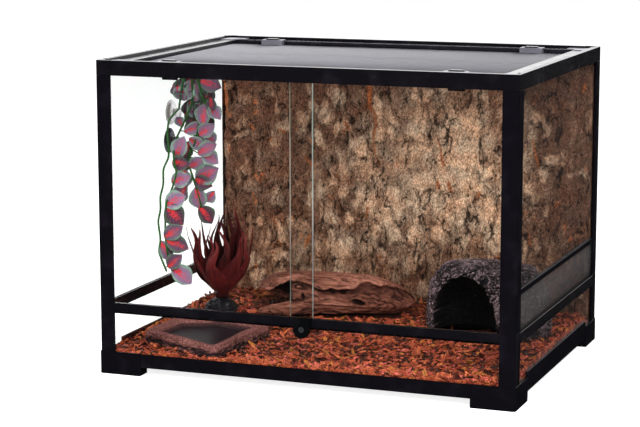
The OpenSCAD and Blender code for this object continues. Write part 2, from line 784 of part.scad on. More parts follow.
module vine() {
    leaf_len = 27;
    color("purple") translate([left_face, 0, 0]) {
        strand(hung(strand_a));
        strand(hung(strand_b));
        for (i = [0 : vine_leaves_n - 1]) {
            share = (i + 0.5) / vine_leaves_n;
            foot = i % 4 > 0 ? along(hung(strand_a), 0.27 + 0.73 * share)
                : along(hung(strand_b), 0.3 + 0.68 * share);
            azimuth = -100 + 200 * ((i * 0.618) % 1);
            droop = 20 + 30 * ((i * 0.382) % 1);
            translate(foot) vine_leaf(azimuth, droop, leaf_len - 3 * (i % 3));
        }
    }
}

// Clear cups on the left glass, each with a knob that is drilled for the stem
module suction_cups() {
    cup_depth = 5;
    neck_r = 4.5;
    knob_r = 6.5;
    knob_len = 8;
    knob_a = knob_in - knob_len / 2;
    knob_b = knob_in + knob_len / 2;
    color("white", 0.4) for (at = cup_at) translate([left_face, at[0], at[1] * tank_h]) difference() {
        rotate([0, 90, 0]) rotate_extrude() polygon([
            [0, 1], [cup_r - 4, 0.6], [cup_r, 0], [cup_r, 1], [cup_r * 0.6, cup_depth],
            [neck_r, cup_depth + 1], [neck_r, knob_a], [knob_r, knob_a + 1], [knob_r, knob_b - 1],
            [neck_r, knob_b], [0, knob_b]
        ]);
        translate([knob_in, 0, -knob_r - 1]) cylinder(h = 2 * knob_r + 2, r = stem_r + slot_gap);
    }
}

base_corner("fl");  // base_corner_fl
base_corner("fr");  // base_corner_fr
base_corner("rl");  // base_corner_rl
base_corner("rr");  // base_corner_rr
post("fl");  // post_fl
post("fr");  // post_fr
post("rl");  // post_rl
post("rr");  // post_rr
top_corner("fl");  // top_corner_fl
top_corner("fr");  // top_corner_fr
top_corner("rl");  // top_corner_rl
top_corner("rr");  // top_corner_rr
base_rail("front");  // base_rail_front
base_rail("rear");  // base_rail_rear
base_rail("left");  // base_rail_left
base_rail("right");  // base_rail_right
mid_rail_front();
mid_rail("rear");  // mid_rail_rear
mid_rail("left");  // mid_rail_left
mid_rail("right");  // mid_rail_right
top_rail("front");  // top_rail_front
top_rail("rear");  // top_rail_rear
top_rail("left");  // top_rail_left
top_rail("right");  // top_rail_right
base_glass();
pane("front", shelf_z, sill_z);  // lower_glass_front
pane("rear", shelf_z, mid_web_z);  // lower_glass_rear
pane("left", shelf_z, mid_web_z);  // lower_glass_left
pane("right", shelf_z, mid_web_z);  // lower_glass_right
pane("left", mid_web_z + lip_t, ledge_z);  // upper_glass_left
pane("right", trim_web_z + lip_t, ledge_z);  // upper_glass_right
pane("rear", mid_web_z + lip_t, ledge_z);  // upper_glass_rear
vent_mesh();
vent_trim();
door_track_top();
door_left();
door_right();
lock_housing();
lock_cylinder();
lid_rail("front");  // lid_rail_front
lid_rail("rear");  // lid_rail_rear
lid_rail("left");  // lid_rail_left
lid_rail("right");  // lid_rail_right
lid_corners();
lid_mesh();
latch_housings();
latch("front", "left");  // latch_front_left
latch("front", "right");  // latch_front_right
latch("rear", "left");  // latch_rear_left
latch("rear", "right");  // latch_rear_right
background_panel();
substrate_bed();
driftwood_log();
cave_hide();
water_dish();
plant_leaves();
plant_rock();
vine();
suction_cups();
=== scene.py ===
import math

import bmesh
import bpy
import numpy as np
from mathutils import Matrix, Vector


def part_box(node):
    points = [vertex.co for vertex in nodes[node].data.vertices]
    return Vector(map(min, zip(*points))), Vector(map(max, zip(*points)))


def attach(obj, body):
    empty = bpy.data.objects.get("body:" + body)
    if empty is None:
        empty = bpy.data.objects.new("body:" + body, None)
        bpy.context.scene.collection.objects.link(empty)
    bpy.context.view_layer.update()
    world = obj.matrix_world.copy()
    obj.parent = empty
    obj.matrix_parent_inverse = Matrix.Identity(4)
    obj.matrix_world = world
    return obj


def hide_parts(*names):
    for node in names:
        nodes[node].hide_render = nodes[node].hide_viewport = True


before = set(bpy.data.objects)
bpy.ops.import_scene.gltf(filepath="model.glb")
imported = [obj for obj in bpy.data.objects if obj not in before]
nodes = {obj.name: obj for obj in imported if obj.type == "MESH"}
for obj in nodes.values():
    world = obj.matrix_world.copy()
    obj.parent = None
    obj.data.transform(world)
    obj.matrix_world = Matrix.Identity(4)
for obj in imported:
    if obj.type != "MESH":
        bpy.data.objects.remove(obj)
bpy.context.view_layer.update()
mm = 0.001
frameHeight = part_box("top_rail_front")[1][2] / mm
print("frame loaded:", len(nodes), "parts")


cameraSettings = {
    "place": (0.975, -2.708, 0.697),  # metres, in the part's frame
    "yaw": 20.85,  # degrees to the left of straight back
    "pitchDown": 9.63,
    "roll": -0.08,
    "lens": 114.25,
}


def makeCamera(s):
    data = bpy.data.cameras.new("studioCamera")
    data.lens, data.sensor_width = s["lens"], 36.0
    data.clip_start, data.clip_end = 0.1, 30.0
    camera = bpy.data.objects.new("studioCamera", data)
    bpy.context.scene.collection.objects.link(camera)
    turn = (
        Matrix.Rotation(math.radians(s["yaw"]), 4, "Z")
        @ Matrix.Rotation(math.radians(90 - s["pitchDown"]), 4, "X")
        @ Matrix.Rotation(math.radians(s["roll"]), 4, "Z")
    )
    camera.matrix_world = Matrix.Translation(s["place"]) @ turn
    bpy.context.scene.camera = camera


makeCamera(cameraSettings)
print("camera placed")


def unit(v):  # vectors of length 1 along the last axis
    return v / np.linalg.norm(v, axis=-1, keepdims=True)


def roundAngles(count):  # evenly spaced angles of a full turn
    return np.arange(count) / count * 2 * np.pi


def smoothStep(low, high, x):  # 0 below low, 1 above high, a smooth S between
    t = np.clip((x - low) / (high - low), 0.0, 1.0)
    return t * t * (3 - 2 * t)


def latticeRandom(cells, seed):  # a repeatable random number from 0 to 1 for each whole-number lattice point
    h = np.full(cells.shape[:-1], seed * 374761393 % 4294967296, np.uint64)
    for axis, factor in enumerate((73856093, 19349663, 83492791)[: cells.shape[-1]]):
        h = h + (cells[..., axis].astype(np.int64) & 0xFFFFFFFF).astype(np.uint64) * factor
        h = (h ^ (h >> np.uint64(13))) * np.uint64(1274126177) & np.uint64(0xFFFFFFFF)
    return ((h ^ (h >> np.uint64(16))) & np.uint64(0xFFFFFF)).astype(float) / 0xFFFFFF


def valueNoise(points, seed):  # random values on a unit lattice, blended smoothly between its corners
    base = np.floor(points)
    t = points - base
    t = t * t * (3 - 2 * t)
    total = np.zeros(points.shape[:-1])
    axes = points.shape[-1]
    for corner in range(2**axes):
        step = np.array([(corner >> k) & 1 for k in range(axes)], float)
        weight = np.prod(np.where(step > 0, t, 1 - t), axis=-1)
        total += weight * latticeRandom(base + step, seed)
    return total * 2 - 1


def fractalNoise(points, octaves=4, seed=1, gain=0.5):
    # octaves of value noise, each at twice the frequency and gain times the height
    total, height, size = 0.0, 1.0, 0.0
    for k in range(octaves):
        total = total + height * valueNoise(points * 2.0**k + 17.3 * k, seed + 7 * k)
        size += height
        height *= gain
    return total / size


def cellNoise(points, seed):
    # distances to the nearest two scattered points of a jittered lattice, and the nearest one's random number
    base = np.floor(points)
    axes = points.shape[-1]
    first = np.full(points.shape[:-1], 9.0)
    second = first.copy()
    label = np.zeros(points.shape[:-1])
    for index in range(3**axes):
        step = np.array([(index // 3**k) % 3 - 1 for k in range(axes)], float)
        cell = base + step
        jitter = np.stack([latticeRandom(cell, seed + 11 * (k + 1)) for k in range(axes)], axis=-1)
        gap = np.linalg.norm(cell + jitter - points, axis=-1)
        nearer = gap < first
        second = np.where(nearer, first, np.minimum(second, gap))
        label = np.where(nearer, latticeRandom(cell, seed + 5), label)
        first = np.where(nearer, gap, first)
    return first, second, label


def gridFaces(rows, cols, wrap=False):  # quads between the neighbouring points of a rows by cols grid
    i = np.arange(cols if wrap else cols - 1)
    j = np.arange(rows - 1)[:, None]
    a = j * cols + i
    b = j * cols + (i + 1) % cols
    return np.stack([a, b, b + cols, a + cols], axis=-1).reshape(-1, 4)


def capFaces(ring, centre, flip=False):  # triangles from a closed ring of points to one centre point
    nxt = np.roll(ring, -1)
    tri = np.stack([ring, nxt, np.full(len(ring), centre)], axis=-1)
    return tri[:, ::-1] if flip else tri


def volumeOf(points, faces):  # signed volume: the sum over fans of triangles of a . (b x c) / 6
    total = 0.0
    for f in faces:
        f = np.asarray(f)
        for k in range(1, f.shape[1] - 1):
            a, b, c = points[f[:, 0]], points[f[:, k]], points[f[:, k + 1]]
            total += np.einsum("ij,ij->i", a, np.cross(b, c)).sum() / 6
    return total


def makePiece(name, points, faces, materials, body="tank", smooth=True, values=None, colours=None, slots=None):
    # a mesh from an array of points and an array of faces, or a list of such arrays
    points = np.asarray(points, float).reshape(-1, 3)
    faces = [np.asarray(f, int) for f in (faces if isinstance(faces, list) else [faces])]
    if volumeOf(points - points.mean(axis=0), faces) < 0:
        faces = [f[:, ::-1] for f in faces]
    mesh = bpy.data.meshes.new(name)
    mesh.from_pydata(points.tolist(), [], [q for f in faces for q in f.tolist()])
    for key, array in (values or {}).items():
        mesh.attributes.new(key, "FLOAT", "POINT").data.foreach_set("value", np.asarray(array, float).ravel())
    for key, array in (colours or {}).items():
        rgba = np.concatenate([np.asarray(array, float).reshape(-1, 3), np.ones((len(points), 1))], axis=1)
        mesh.attributes.new(key, "FLOAT_COLOR", "POINT").data.foreach_set("color", rgba.ravel())
    for material in materials:
        mesh.materials.append(material)
    if slots is not None:
        mesh.polygons.foreach_set("material_index", np.asarray(slots, int))
    mesh.polygons.foreach_set("use_smooth", np.full(len(mesh.polygons), smooth))
    mesh.validate()
    mesh.update()
    piece = bpy.data.objects.new(name, mesh)
    bpy.context.scene.collection.objects.link(piece)
    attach(piece, body)
    return piece


def feed(tree, socket, value):  # links a socket to another node's output, or sets it to a plain value or colour
    if hasattr(value, "is_output"):
        tree.links.new(value, socket)
    else:
        socket.default_value = (*value, 1) if socket.type == "RGBA" else value


def addNode(tree, kind, place=(0, 0), inputs=None, **values):
    node = tree.nodes.new(kind)
    node.location = place
    for key, value in values.items():
        setattr(node, key, value)
    for key, value in (inputs or {}).items():
        feed(tree, node.inputs[key], value)
    return node


def addMath(tree, operation, *values, clamp=False, at=(0, 0)):
    inputs = dict(enumerate(values))
    return addNode(tree, "ShaderNodeMath", at, inputs, operation=operation, use_clamp=clamp).outputs[0]


def newGroup(name, inputs, outputs):  # a shader group with named sockets; an input is (name, kind, default)
    group = bpy.data.node_groups.new(name, "ShaderNodeTree")
    for key, kind, default in inputs:
        socket = group.interface.new_socket(key, in_out="INPUT", socket_type="NodeSocket" + kind)
        socket.default_value = default
    for key, kind in outputs:
        group.interface.new_socket(key, in_out="OUTPUT", socket_type="NodeSocket" + kind)
    given, result = addNode(group, "NodeGroupInput", (-900, 0)), addNode(group, "NodeGroupOutput", (600, 0))
    return group, given.outputs, result.inputs


def makeGrain():
    # fine and coarse noise: Mask from 0 to 1, its contrast raised about the middle, and Height for bump
    group, given, result = newGroup(
        "surfaceGrain",
        [("Position", "Vector", (0, 0, 0)), ("Scale", "Float", 400.0), ("Detail", "Float", 4.0),
         ("Contrast", "Float", 1.5)],
        [("Mask", "Float"), ("Height", "Float")],
    )
    inputs = {"Vector": given["Position"], "Scale": given["Scale"], "Detail": given["Detail"]}
    noise = addNode(group, "ShaderNodeTexNoise", (-600, 0), inputs).outputs["Fac"]
    centred = addMath(group, "SUBTRACT", noise, 0.5, at=(-400, 0))
    spread = addMath(group, "MULTIPLY", centred, given["Contrast"], at=(-200, 0))
    feed(group, result["Mask"], addMath(group, "ADD", spread, 0.5, clamp=True))
    feed(group, result["Height"], noise)
    return group


def makeTwoTone():  # a colour between two by a mask that is sharpened about a threshold
    group, given, result = newGroup(
        "twoTone",
        [("Low", "Color", (0, 0, 0, 1)), ("High", "Color", (1, 1, 1, 1)),
         ("Mask", "Float", 0.5), ("Start", "Float", 0.3), ("End", "Float", 0.7)],
        [("Color", "Color")],
    )
    inputs = {"Value": given["Mask"], "From Min": given["Start"], "From Max": given["End"]}
    ramp = addNode(group, "ShaderNodeMapRange", (-400, 0), inputs, interpolation_type="SMOOTHSTEP")
    inputs = {0: ramp.outputs["Result"], 6: given["Low"], 7: given["High"]}
    feed(group, result["Color"], addNode(group, "ShaderNodeMix", (0, 0), inputs, data_type="RGBA").outputs[2])
    return group


grainGroup, twoToneGroup = makeGrain(), makeTwoTone()


def newMaterial(name, sockets=None):
    # a Principled material with these plain values; returns it with its tree, its shader and the Object coordinates
    material = bpy.data.materials.new(name)
    material.use_nodes = True
    tree = material.node_tree
    shader = tree.nodes["Principled BSDF"]
    for key, value in (sockets or {}).items():
        feed(tree, shader.inputs[key], value)
    place = addNode(tree, "ShaderNodeTexCoord", (-1300, 0)).outputs["Object"]
    return material, tree, shader, place


def addGrain(tree, place, scale, detail=4.0, contrast=1.5, stretch=None, at=(-900, 0)):
    if stretch:
        inputs = {"Vector": place, "Scale": stretch}
        place = addNode(tree, "ShaderNodeMapping", (at[0] - 200, at[1]), inputs).outputs["Vector"]
    inputs = {"Position": place, "Scale": scale, "Detail": detail, "Contrast": contrast}
    return addNode(tree, "ShaderNodeGroup", at, inputs, node_tree=grainGroup).outputs


def addTone(tree, mask, low, high, start=0.3, end=0.7, at=(-600, 0)):
    inputs = {"Low": low, "High": high, "Mask": mask, "Start": start, "End": end}
    return addNode(tree, "ShaderNodeGroup", at, inputs, node_tree=twoToneGroup).outputs["Color"]


def addAttribute(tree, name, colour=False, at=(-1300, -400)):
    return addNode(tree, "ShaderNodeAttribute", at, attribute_name=name).outputs["Color" if colour else "Fac"]


def multiply(tree, a, b, at=(-300, 0)):  # the product of two colours
    inputs = {0: 1.0, 6: a, 7: b}
    return addNode(tree, "ShaderNodeMix", at, inputs, data_type="RGBA", blend_type="MULTIPLY").outputs[2]


def mixShaders(tree, share, first, second, at):
    return addNode(tree, "ShaderNodeMixShader", at, {0: share, 1: first, 2: second}).outputs[0]


def joinSurface(tree, shader, colour=None, rough=None, bump=None):
    # a colour, a roughness (mask, its value at 0 and at 1) and a bump (height, strength, distance) to the shader
    if colour is not None:
        feed(tree, shader.inputs["Base Color"], colour)
    if rough:
        inputs = dict(zip(("Value", "To Min", "To Max"), rough))
        ramp = addNode(tree, "ShaderNodeMapRange", (-400, -300), inputs)
        feed(tree, shader.inputs["Roughness"], ramp.outputs["Result"])
    if bump:
        inputs = dict(zip(("Height", "Strength", "Distance"), bump))
        feed(tree, shader.inputs["Normal"], addNode(tree, "ShaderNodeBump", (-300, -600), inputs).outputs["Normal"])


plasticSettings = {
    "framePlastic": {"colour": (0.0034, 0.0030, 0.0046), "dust": (0.007, 0.006, 0.009), "rough": (0.26, 0.42),
                     "gloss": 0.02},
    "rimPlastic": {"colour": (0.0036, 0.0031, 0.0046), "dust": (0.008, 0.007, 0.010), "rough": (0.17, 0.30),
                   "gloss": 0.40},
    "railPlastic": {"colour": (0.0034, 0.0030, 0.0046), "dust": (0.007, 0.006, 0.009), "rough": (0.18, 0.30),
                    "gloss": 0.30},
    "lidPlastic": {"colour": (0.0080, 0.0070, 0.0100), "dust": (0.020, 0.018, 0.026), "rough": (0.14, 0.26),
                   "gloss": 0.5},
    "latchPlastic": {"colour": (0.130, 0.125, 0.150), "dust": (0.200, 0.195, 0.230), "rough": (0.24, 0.40),
                     "gloss": 0.5},
    "platePlastic": {"colour": (0.170, 0.165, 0.195), "dust": (0.260, 0.250, 0.290), "rough": (0.22, 0.36),
                     "gloss": 0.5},
    "lockPlastic": {"colour": (0.0020, 0.0022, 0.0024), "dust": (0.005, 0.005, 0.006), "rough": (0.12, 0.22),
                    "gloss": 0.10},
    "ventWire": {"colour": (0.060, 0.056, 0.056), "dust": (0.090, 0.084, 0.084), "rough": (0.50, 0.65),
                 "gloss": 0.3},
}


mouldingSettings = {
    "clouds": (35.0, 5.0, 1.8),  # scale, detail and contrast of the dust
    "dusty": (0.45, 0.95),  # the clouds' values where the dust begins and where it is full
    "peel": (900.0, 2.0, 1.2),
    "bump": (0.12, 0.0002),  # strength, and distance in metres
}


def makePlastic(name, s, m):  # moulded plastic: faint cloudy dust and a fine orange-peel bump
    material, tree, shader, place = newMaterial(name, {"Specular IOR Level": s["gloss"]})
    clouds = addGrain(tree, place, *m["clouds"], at=(-900, 100))
    peel = addGrain(tree, place, *m["peel"], at=(-900, -200))
    colour = addTone(tree, clouds["Mask"], s["colour"], s["dust"], *m["dusty"], at=(-500, 100))
    joinSurface(tree, shader, colour, (clouds["Mask"], *s["rough"]), (peel["Height"], *m["bump"]))
    return material


plastics = {name: makePlastic(name, s, mouldingSettings) for name, s in plasticSettings.items()}


glassSettings = {
    "index": 1.45,
    "pane": {"tint": (0.985, 0.995, 0.99), "clear": 1.0, "grain": (9.0, 5.0, 1.4), "rough": (0.0, 0.025)},
    "edge": {"tint": (0.50, 0.66, 0.55), "clear": 0.85, "grain": (600.0, 3.0, 1.6), "rough": (0.25, 0.45),
             "gleam": {"grain": (7.0, 2.0, 3.0), "tint": (0.97, 0.99, 0.96), "between": (0.45, 0.75)}},
}


def makeGlass(name, s, index):
    # glass that lets lamps and soft light through; its ground edge is greener and rougher
    sockets = {"Base Color": s["tint"], "Transmission Weight": s["clear"], "IOR": index}
    material, tree, shader, place = newMaterial(name, sockets)
    colour, gleam = None, s.get("gleam")
    if gleam:
        mask = addGrain(tree, place, *gleam["grain"], at=(-900, 300))["Mask"]
        colour = addTone(tree, mask, s["tint"], gleam["tint"], *gleam["between"])
    joinSurface(tree, shader, colour, (addGrain(tree, place, *s["grain"])["Mask"], *s["rough"]))
    clear = addNode(tree, "ShaderNodeBsdfTransparent", (0, -300),
                    {"Color": tuple(0.5 + 0.5 * c for c in s["tint"])})
    path = addNode(tree, "ShaderNodeLightPath", (-300, 400)).outputs
    passes = addMath(tree, "MAXIMUM", path["Is Shadow Ray"], path["Is Diffuse Ray"], at=(-100, 400))
    whole = mixShaders(tree, passes, shader.outputs[0], clear.outputs[0], (300, 200))
    feed(tree, tree.nodes["Material Output"].inputs["Surface"], whole)
    return material


paneGlass = makeGlass("paneGlass", glassSettings["pane"], glassSettings["index"])
edgeGlass = makeGlass("edgeGlass", glassSettings["edge"], glassSettings["index"])


metalSettings = {
    "lock": {"colour": (0.045, 0.046, 0.048), "rough": (0.25, 0.4), "scale": 700.0, "metallic": 0.4},
    "net": {"colour": (0.37, 0.365, 0.40), "rough": (0.4, 0.55), "scale": 1500.0, "metallic": 1.0},
    "darker": 0.7,  # the dark grain's share of the colour
}


def makeMetal(name, s, darker):
    material, tree, shader, place = newMaterial(name, {"Metallic": s["metallic"]})
    grain = addGrain(tree, place, s["scale"], 3.0, 1.4)
    colour = addTone(tree, grain["Mask"], tuple(darker * c for c in s["colour"]), s["colour"])
    joinSurface(tree, shader, colour, (grain["Mask"], *s["rough"]), (grain["Height"], 0.1, 0.0001))
    return material


lockMetal = makeMetal("lockMetal", metalSettings["lock"], metalSettings["darker"])
netWire = makeMetal("netWire", metalSettings["net"], metalSettings["darker"])


# metres, then angles in degrees
softSettings = {"weld": 2e-6, "flat": 1, "bevelled": 40, "sharp": 35, "segments": 2}


def softenNode(node, material, width, body="tank", s=softSettings):
    # the node's own shape, merged, with its sharp edges rounded
    mesh = nodes[node].data.copy()
    mesh.name = node + "Soft"
    mesh.materials.clear()
    mesh.materials.append(material)
    work = bmesh.new()
    work.from_mesh(mesh)
    bmesh.ops.remove_doubles(work, verts=work.verts, dist=s["weld"])
    bmesh.ops.dissolve_limit(work, angle_limit=math.radians(s["flat"]), verts=work.verts, edges=work.edges)
    bmesh.ops.recalc_face_normals(work, faces=work.faces)
    work.to_mesh(mesh)
    work.free()
    piece = bpy.data.objects.new(node + "Soft", mesh)
    bpy.context.scene.collection.objects.link(piece)
    bevel = piece.modifiers.new("roundedEdges", "BEVEL")
    bevel.width, bevel.segments = width, s["segments"]
    bevel.limit_method, bevel.angle_limit = "ANGLE", math.radians(s["bevelled"])
    bevel.harden_normals = True
    for polygon in mesh.polygons:
        polygon.use_smooth = True
    mesh.set_sharp_from_angle(angle=math.radians(s["sharp"]))
    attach(piece, body)
    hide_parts(node)


corners, sides = ("fl", "fr", "rl", "rr"), ("front", "rear", "left", "right")
frameNodes = (
    [kind + corner for kind in ("base_corner_", "post_", "top_corner_") for corner in corners]
    + [kind + side for kind in ("base_rail_", "mid_rail_", "top_rail_") for side in sides]
    + ["vent_trim", "door_track_top"]
)
framePlastics = {"top": plastics["rimPlastic"], "mid": plastics["railPlastic"]}
for name in frameNodes:
    softenNode(name, framePlastics.get(name[:3], plastics["framePlastic"]), 0.5 * mm)
for side in sides:
    softenNode("lid_rail_" + side, plastics["lidPlastic"], 0.5 * mm, "lid")
softenNode("lid_corners", plastics["platePlastic"], 0.35 * mm, "lid")
softenNode("latch_housings", plastics["latchPlastic"], 0.4 * mm, "lid")
softenNode("lock_housing", plastics["lockPlastic"], 0.6 * mm)
softenNode("lock_cylinder", lockMetal, 0.25 * mm, "lock_cylinder")
latchNames = [f"latch_{end}_{hand}" for end in ("front", "rear") for hand in ("left", "right")]
for name in latchNames:
    softenNode(name, plastics["lidPlastic"], 0.3 * mm, name)
print("frame, lid and latches dressed")


paneSettings = {"chamfer": 0.5 * mm}


def makePane(node, body, s):  # a sheet with chamfered rims: clear faces, greener ground edges
    low, high = np.array(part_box(node))
    thin = int(np.argmin(high - low))
    flat = [k for k in range(3) if k != thin]
    c = s["chamfer"]
    rings = []
    for depth, inset in ((low[thin], c), (low[thin] + c, 0), (high[thin] - c, 0), (high[thin], c)):
        (x0, y0), (x1, y1) = low[flat] + inset, high[flat] - inset
        ring = np.full((4, 3), depth)
        ring[:, flat] = [(x0, y0), (x1, y0), (x1, y1), (x0, y1)]
        rings.append(ring)
    band = gridFaces(4, 4, wrap=True)
    faces = np.concatenate([band, [[3, 2, 1, 0], [12, 13, 14, 15]]])
    slots = [1] * len(band) + [0, 0]
    piece = makePiece(node + "Glass", rings, faces, [paneGlass, edgeGlass], body, smooth=False, slots=slots)
    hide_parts(node)


fixedPanes = ["base_glass"] + ["lower_glass_" + side for side in sides]
fixedPanes += ["upper_glass_" + side for side in ("left", "right", "rear")]
for name in fixedPanes:
    makePane(name, "tank", paneSettings)
for name in ("door_left", "door_right"):
    makePane(name, name, paneSettings)
print("panes made")


netSettings = {
    "pitch": 1.3 * mm,
    "wire": 0.25 * mm,
    "sides": 5,
    "housings": {  # where the latch housings stand in the lid's net
        "inset": 17 * mm,  # from their row's ends to their middles
        "half": 18 * mm,  # half their width
        "lap": 6.5 * mm,  # how far they lie on the lid's rail
        "deep": 10.9 * mm,  # how far they stand into the net
        "shortest": 1 * mm,  # a shorter stretch of wire is left out
    },
}


ventSettings = {"pitch": 1.3 * mm, "wire": 0.12 * mm, "sides": 5}


def wires(starts, ends, radius, count):
    # straight thin tubes: a ring of points about each end, joined, with closed ends
    starts, ends = np.array(starts, float), np.array(ends, float)
    along = unit(ends - starts)
    up = np.where(np.abs(along[:, 2:]) > 0.9, [[0.0, 1.0, 0.0]], [[0.0, 0.0, 1.0]])
    side = unit(np.cross(along, up))
    up = np.cross(side, along)
    angle = roundAngles(count)[:, None]
    ring = radius * (np.cos(angle) * side[:, None, :] + np.sin(angle) * up[:, None, :])
    points = np.stack([starts[:, None] + ring, ends[:, None] + ring], axis=1).reshape(-1, 3)
    base = np.arange(len(starts))[:, None, None] * 2 * count
    quads = (base + gridFaces(2, count, wrap=True)[None]).reshape(-1, 4)
    lid = np.arange(count)
    caps = np.concatenate([base[:, 0] + lid[::-1], base[:, 0] + count + lid])
    return points, [quads, caps]


def clearOfHousings(starts, ends, s):
    # cuts each wire where a latch housing stands in the net, keeping the stretches between
    low, high = np.array(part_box("latch_housings"))
    housings = []
    for cx in (low[0] + s["inset"], high[0] - s["inset"]):
        housings.append((cx - s["half"], cx + s["half"], low[1], low[1] + s["lap"] + s["deep"]))
        housings.append((cx - s["half"], cx + s["half"], high[1] - s["lap"] - s["deep"], high[1]))
    outStarts, outEnds = [], []
    for a, b in zip(starts, ends):
        run = 0 if abs(b[0] - a[0]) > abs(b[1] - a[1]) else 1
        cross = 2 * (1 - run)
        blocked = sorted(h[2 * run : 2 * run + 2] for h in housings if h[cross] < a[1 - run] < h[cross + 1])
        at = a[run]
        for x0, x1 in blocked + [(b[run], b[run])]:
            if x0 - at > s["shortest"]:
                p, q = a.copy(), b.copy()
                p[run], q[run] = at, x0
                outStarts.append(p)
                outEnds.append(q)
            at = max(at, x1)
    return outStarts, outEnds


def makeNet(name, node, body, across, up, s, metal):
    # two crossing sets of wires, one over the other, within the node's box
    low, high = np.array(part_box(node))
    level = (low + high) / 2
    thin = 3 - across - up
    starts, ends = [], []
    for run, cross, shift in ((across, up, -0.8), (up, across, 0.8)):
        for t in np.arange(low[cross] + s["wire"], high[cross], s["pitch"]):
            a, b = level.copy(), level.copy()
            a[run], b[run] = low[run], high[run]
            a[cross] = b[cross] = t
            a[thin] = b[thin] = level[thin] + shift * s["wire"]
            starts.append(a)
            ends.append(b)
    if "housings" in s:
        starts, ends = clearOfHousings(starts, ends, s["housings"])
    points, faces = wires(starts, ends, s["wire"], s["sides"])
    piece = makePiece(name, points, faces, [metal], body)
    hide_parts(node)


makeNet("lidNetWires", "lid_mesh", "lid", 0, 1, netSettings, netWire)
makeNet("ventNetWires", "vent_mesh", "tank", 1, 2, ventSettings, plastics["ventWire"])
print("nets woven")


def heightSlab(front, rear):
    # a grid of points, rows x cols x 3, closed by a flat wall behind it; rear gives that wall's (axis, value)
    rows, cols = front.shape[:2]
    index = np.arange(rows * cols).reshape(rows, cols)
    ring = np.concatenate([index[0, :-1], index[:-1, -1], index[-1, :0:-1], index[:0:-1, 0]])
    points = front.reshape(-1, 3)
    back = points[ring].copy()
    back[:, rear[0]] = rear[1]
    n = len(points)
    far = n + np.arange(len(ring))
    band = np.stack([ring, far, np.roll(far, -1), np.roll(ring, -1)], axis=-1)
    centre = back.mean(axis=0)[None]
    return np.concatenate([points, back, centre]), [gridFaces(rows, cols), band, capFaces(far, n + len(ring), True)]


def tubeFaces(rows, around, count=1):
    # closed tubes, each of rows rings of around points and its own two pole points
    size = rows * around + 2
    ring = np.arange(around)
    quads = gridFaces(rows, around, wrap=True)
    caps = np.concatenate([capFaces(ring, rows * around, True),
                           capFaces((rows - 1) * around + ring, rows * around + 1)])
    shift = np.arange(count)[:, None, None] * size
    return [(shift + quads).reshape(-1, 4), (shift + caps).reshape(-1, 3)]


def withPoles(grid):  # rows x around x 3 points, and the middles of the first and last rings as poles
    ends = np.stack([grid[..., 0, :, :].mean(axis=-2), grid[..., -1, :, :].mean(axis=-2)], axis=-2)
    flat = grid.reshape(*grid.shape[:-3], -1, 3)
    return np.concatenate([flat, ends], axis=-2)


def poleValues(v):  # a value for each point of withPoles, the poles taking those of their rings' first points
    v = v.reshape(-1, *v.shape[-2:])
    return np.concatenate([v.reshape(len(v), -1), v[:, 0, :1], v[:, -1, :1]], axis=1).ravel()


def smoothCurve(points, count, rounds=3):
    # points along a polyline, evenly spaced, then rounded by averaging each with its neighbours
    points = np.asarray(points, float)
    gaps = np.concatenate([[0], np.cumsum(np.linalg.norm(np.diff(points, axis=0), axis=1))])
    t = np.linspace(0, gaps[-1], count)
    curve = np.stack([np.interp(t, gaps, points[:, k]) for k in range(points.shape[1])], axis=-1)
    for _ in range(rounds):
        curve[1:-1] = 0.25 * curve[:-2] + 0.5 * curve[1:-1] + 0.25 * curve[2:]
    return curve


def carryRing(curve, radius, around):  # a round profile carried along a curve: C + r(cos a S + sin a N)
    tangent = unit(np.gradient(curve, axis=0))
    side = unit(np.cross(tangent, [0.3, 0.9, 0.1]))
    up = np.cross(side, tangent)
    a = roundAngles(around)[:, None]
    radius = np.broadcast_to(np.asarray(radius, float), len(curve))[:, None, None]
    return curve[:, None] + radius * (np.cos(a) * side[:, None] + np.sin(a) * up[:, None])


def readSurface(node, across, up):
    # the CAD piece's uneven face: its depths over the even grid of its two other axes, in mm
    mesh = nodes[node].data
    p = np.zeros(len(mesh.vertices) * 3)
    mesh.vertices.foreach_get("co", p)
    p = np.round(p.reshape(-1, 3) / mm, 3)
    depth = 3 - across - up
    flat = p[:, depth].max() if depth == 1 else p[:, depth].min()  # the panel's back, or the bed's underside
    p = p[np.abs(p[:, depth] - flat) > 1]
    us, vs = np.unique(p[:, across].round(1)), np.unique(p[:, up].round(1))
    table = np.zeros((len(vs), len(us)))
    table[np.searchsorted(vs, p[:, up].round(1)), np.searchsorted(us, p[:, across].round(1))] = p[:, depth]
    return us, vs, table


def surfaceDepth(surface, u, v):  # depths between the table's own, blended in both directions
    us, vs, table = surface
    i = np.clip(np.searchsorted(us, u) - 1, 0, len(us) - 2)
    j = np.clip(np.searchsorted(vs, v) - 1, 0, len(vs) - 2)
    s = np.clip((u - us[i]) / (us[i + 1] - us[i]), 0, 1)
    t = np.clip((v - vs[j]) / (vs[j + 1] - vs[j]), 0, 1)
    lower = table[j, i] * (1 - s) + table[j, i + 1] * s
    upper = table[j + 1, i] * (1 - s) + table[j + 1, i + 1] * s
    return lower * (1 - t) + upper * t


def lineGap(p, line):
    # how far each point is from a broken line's edge; the line's points are (x, z, half width)
    line = np.array(line, float)
    best = np.full(p.shape[:-1], 1e3)
    for a, b in zip(line[:-1], line[1:]):
        d = b - a
        t = np.clip(((p - a[:2]) @ d[:2]) / (d[:2] @ d[:2]), 0, 1)
        best = np.minimum(best, np.linalg.norm(p - a[:2] - t[..., None] * d[:2], axis=-1) - a[2] - t * d[2])
    return best


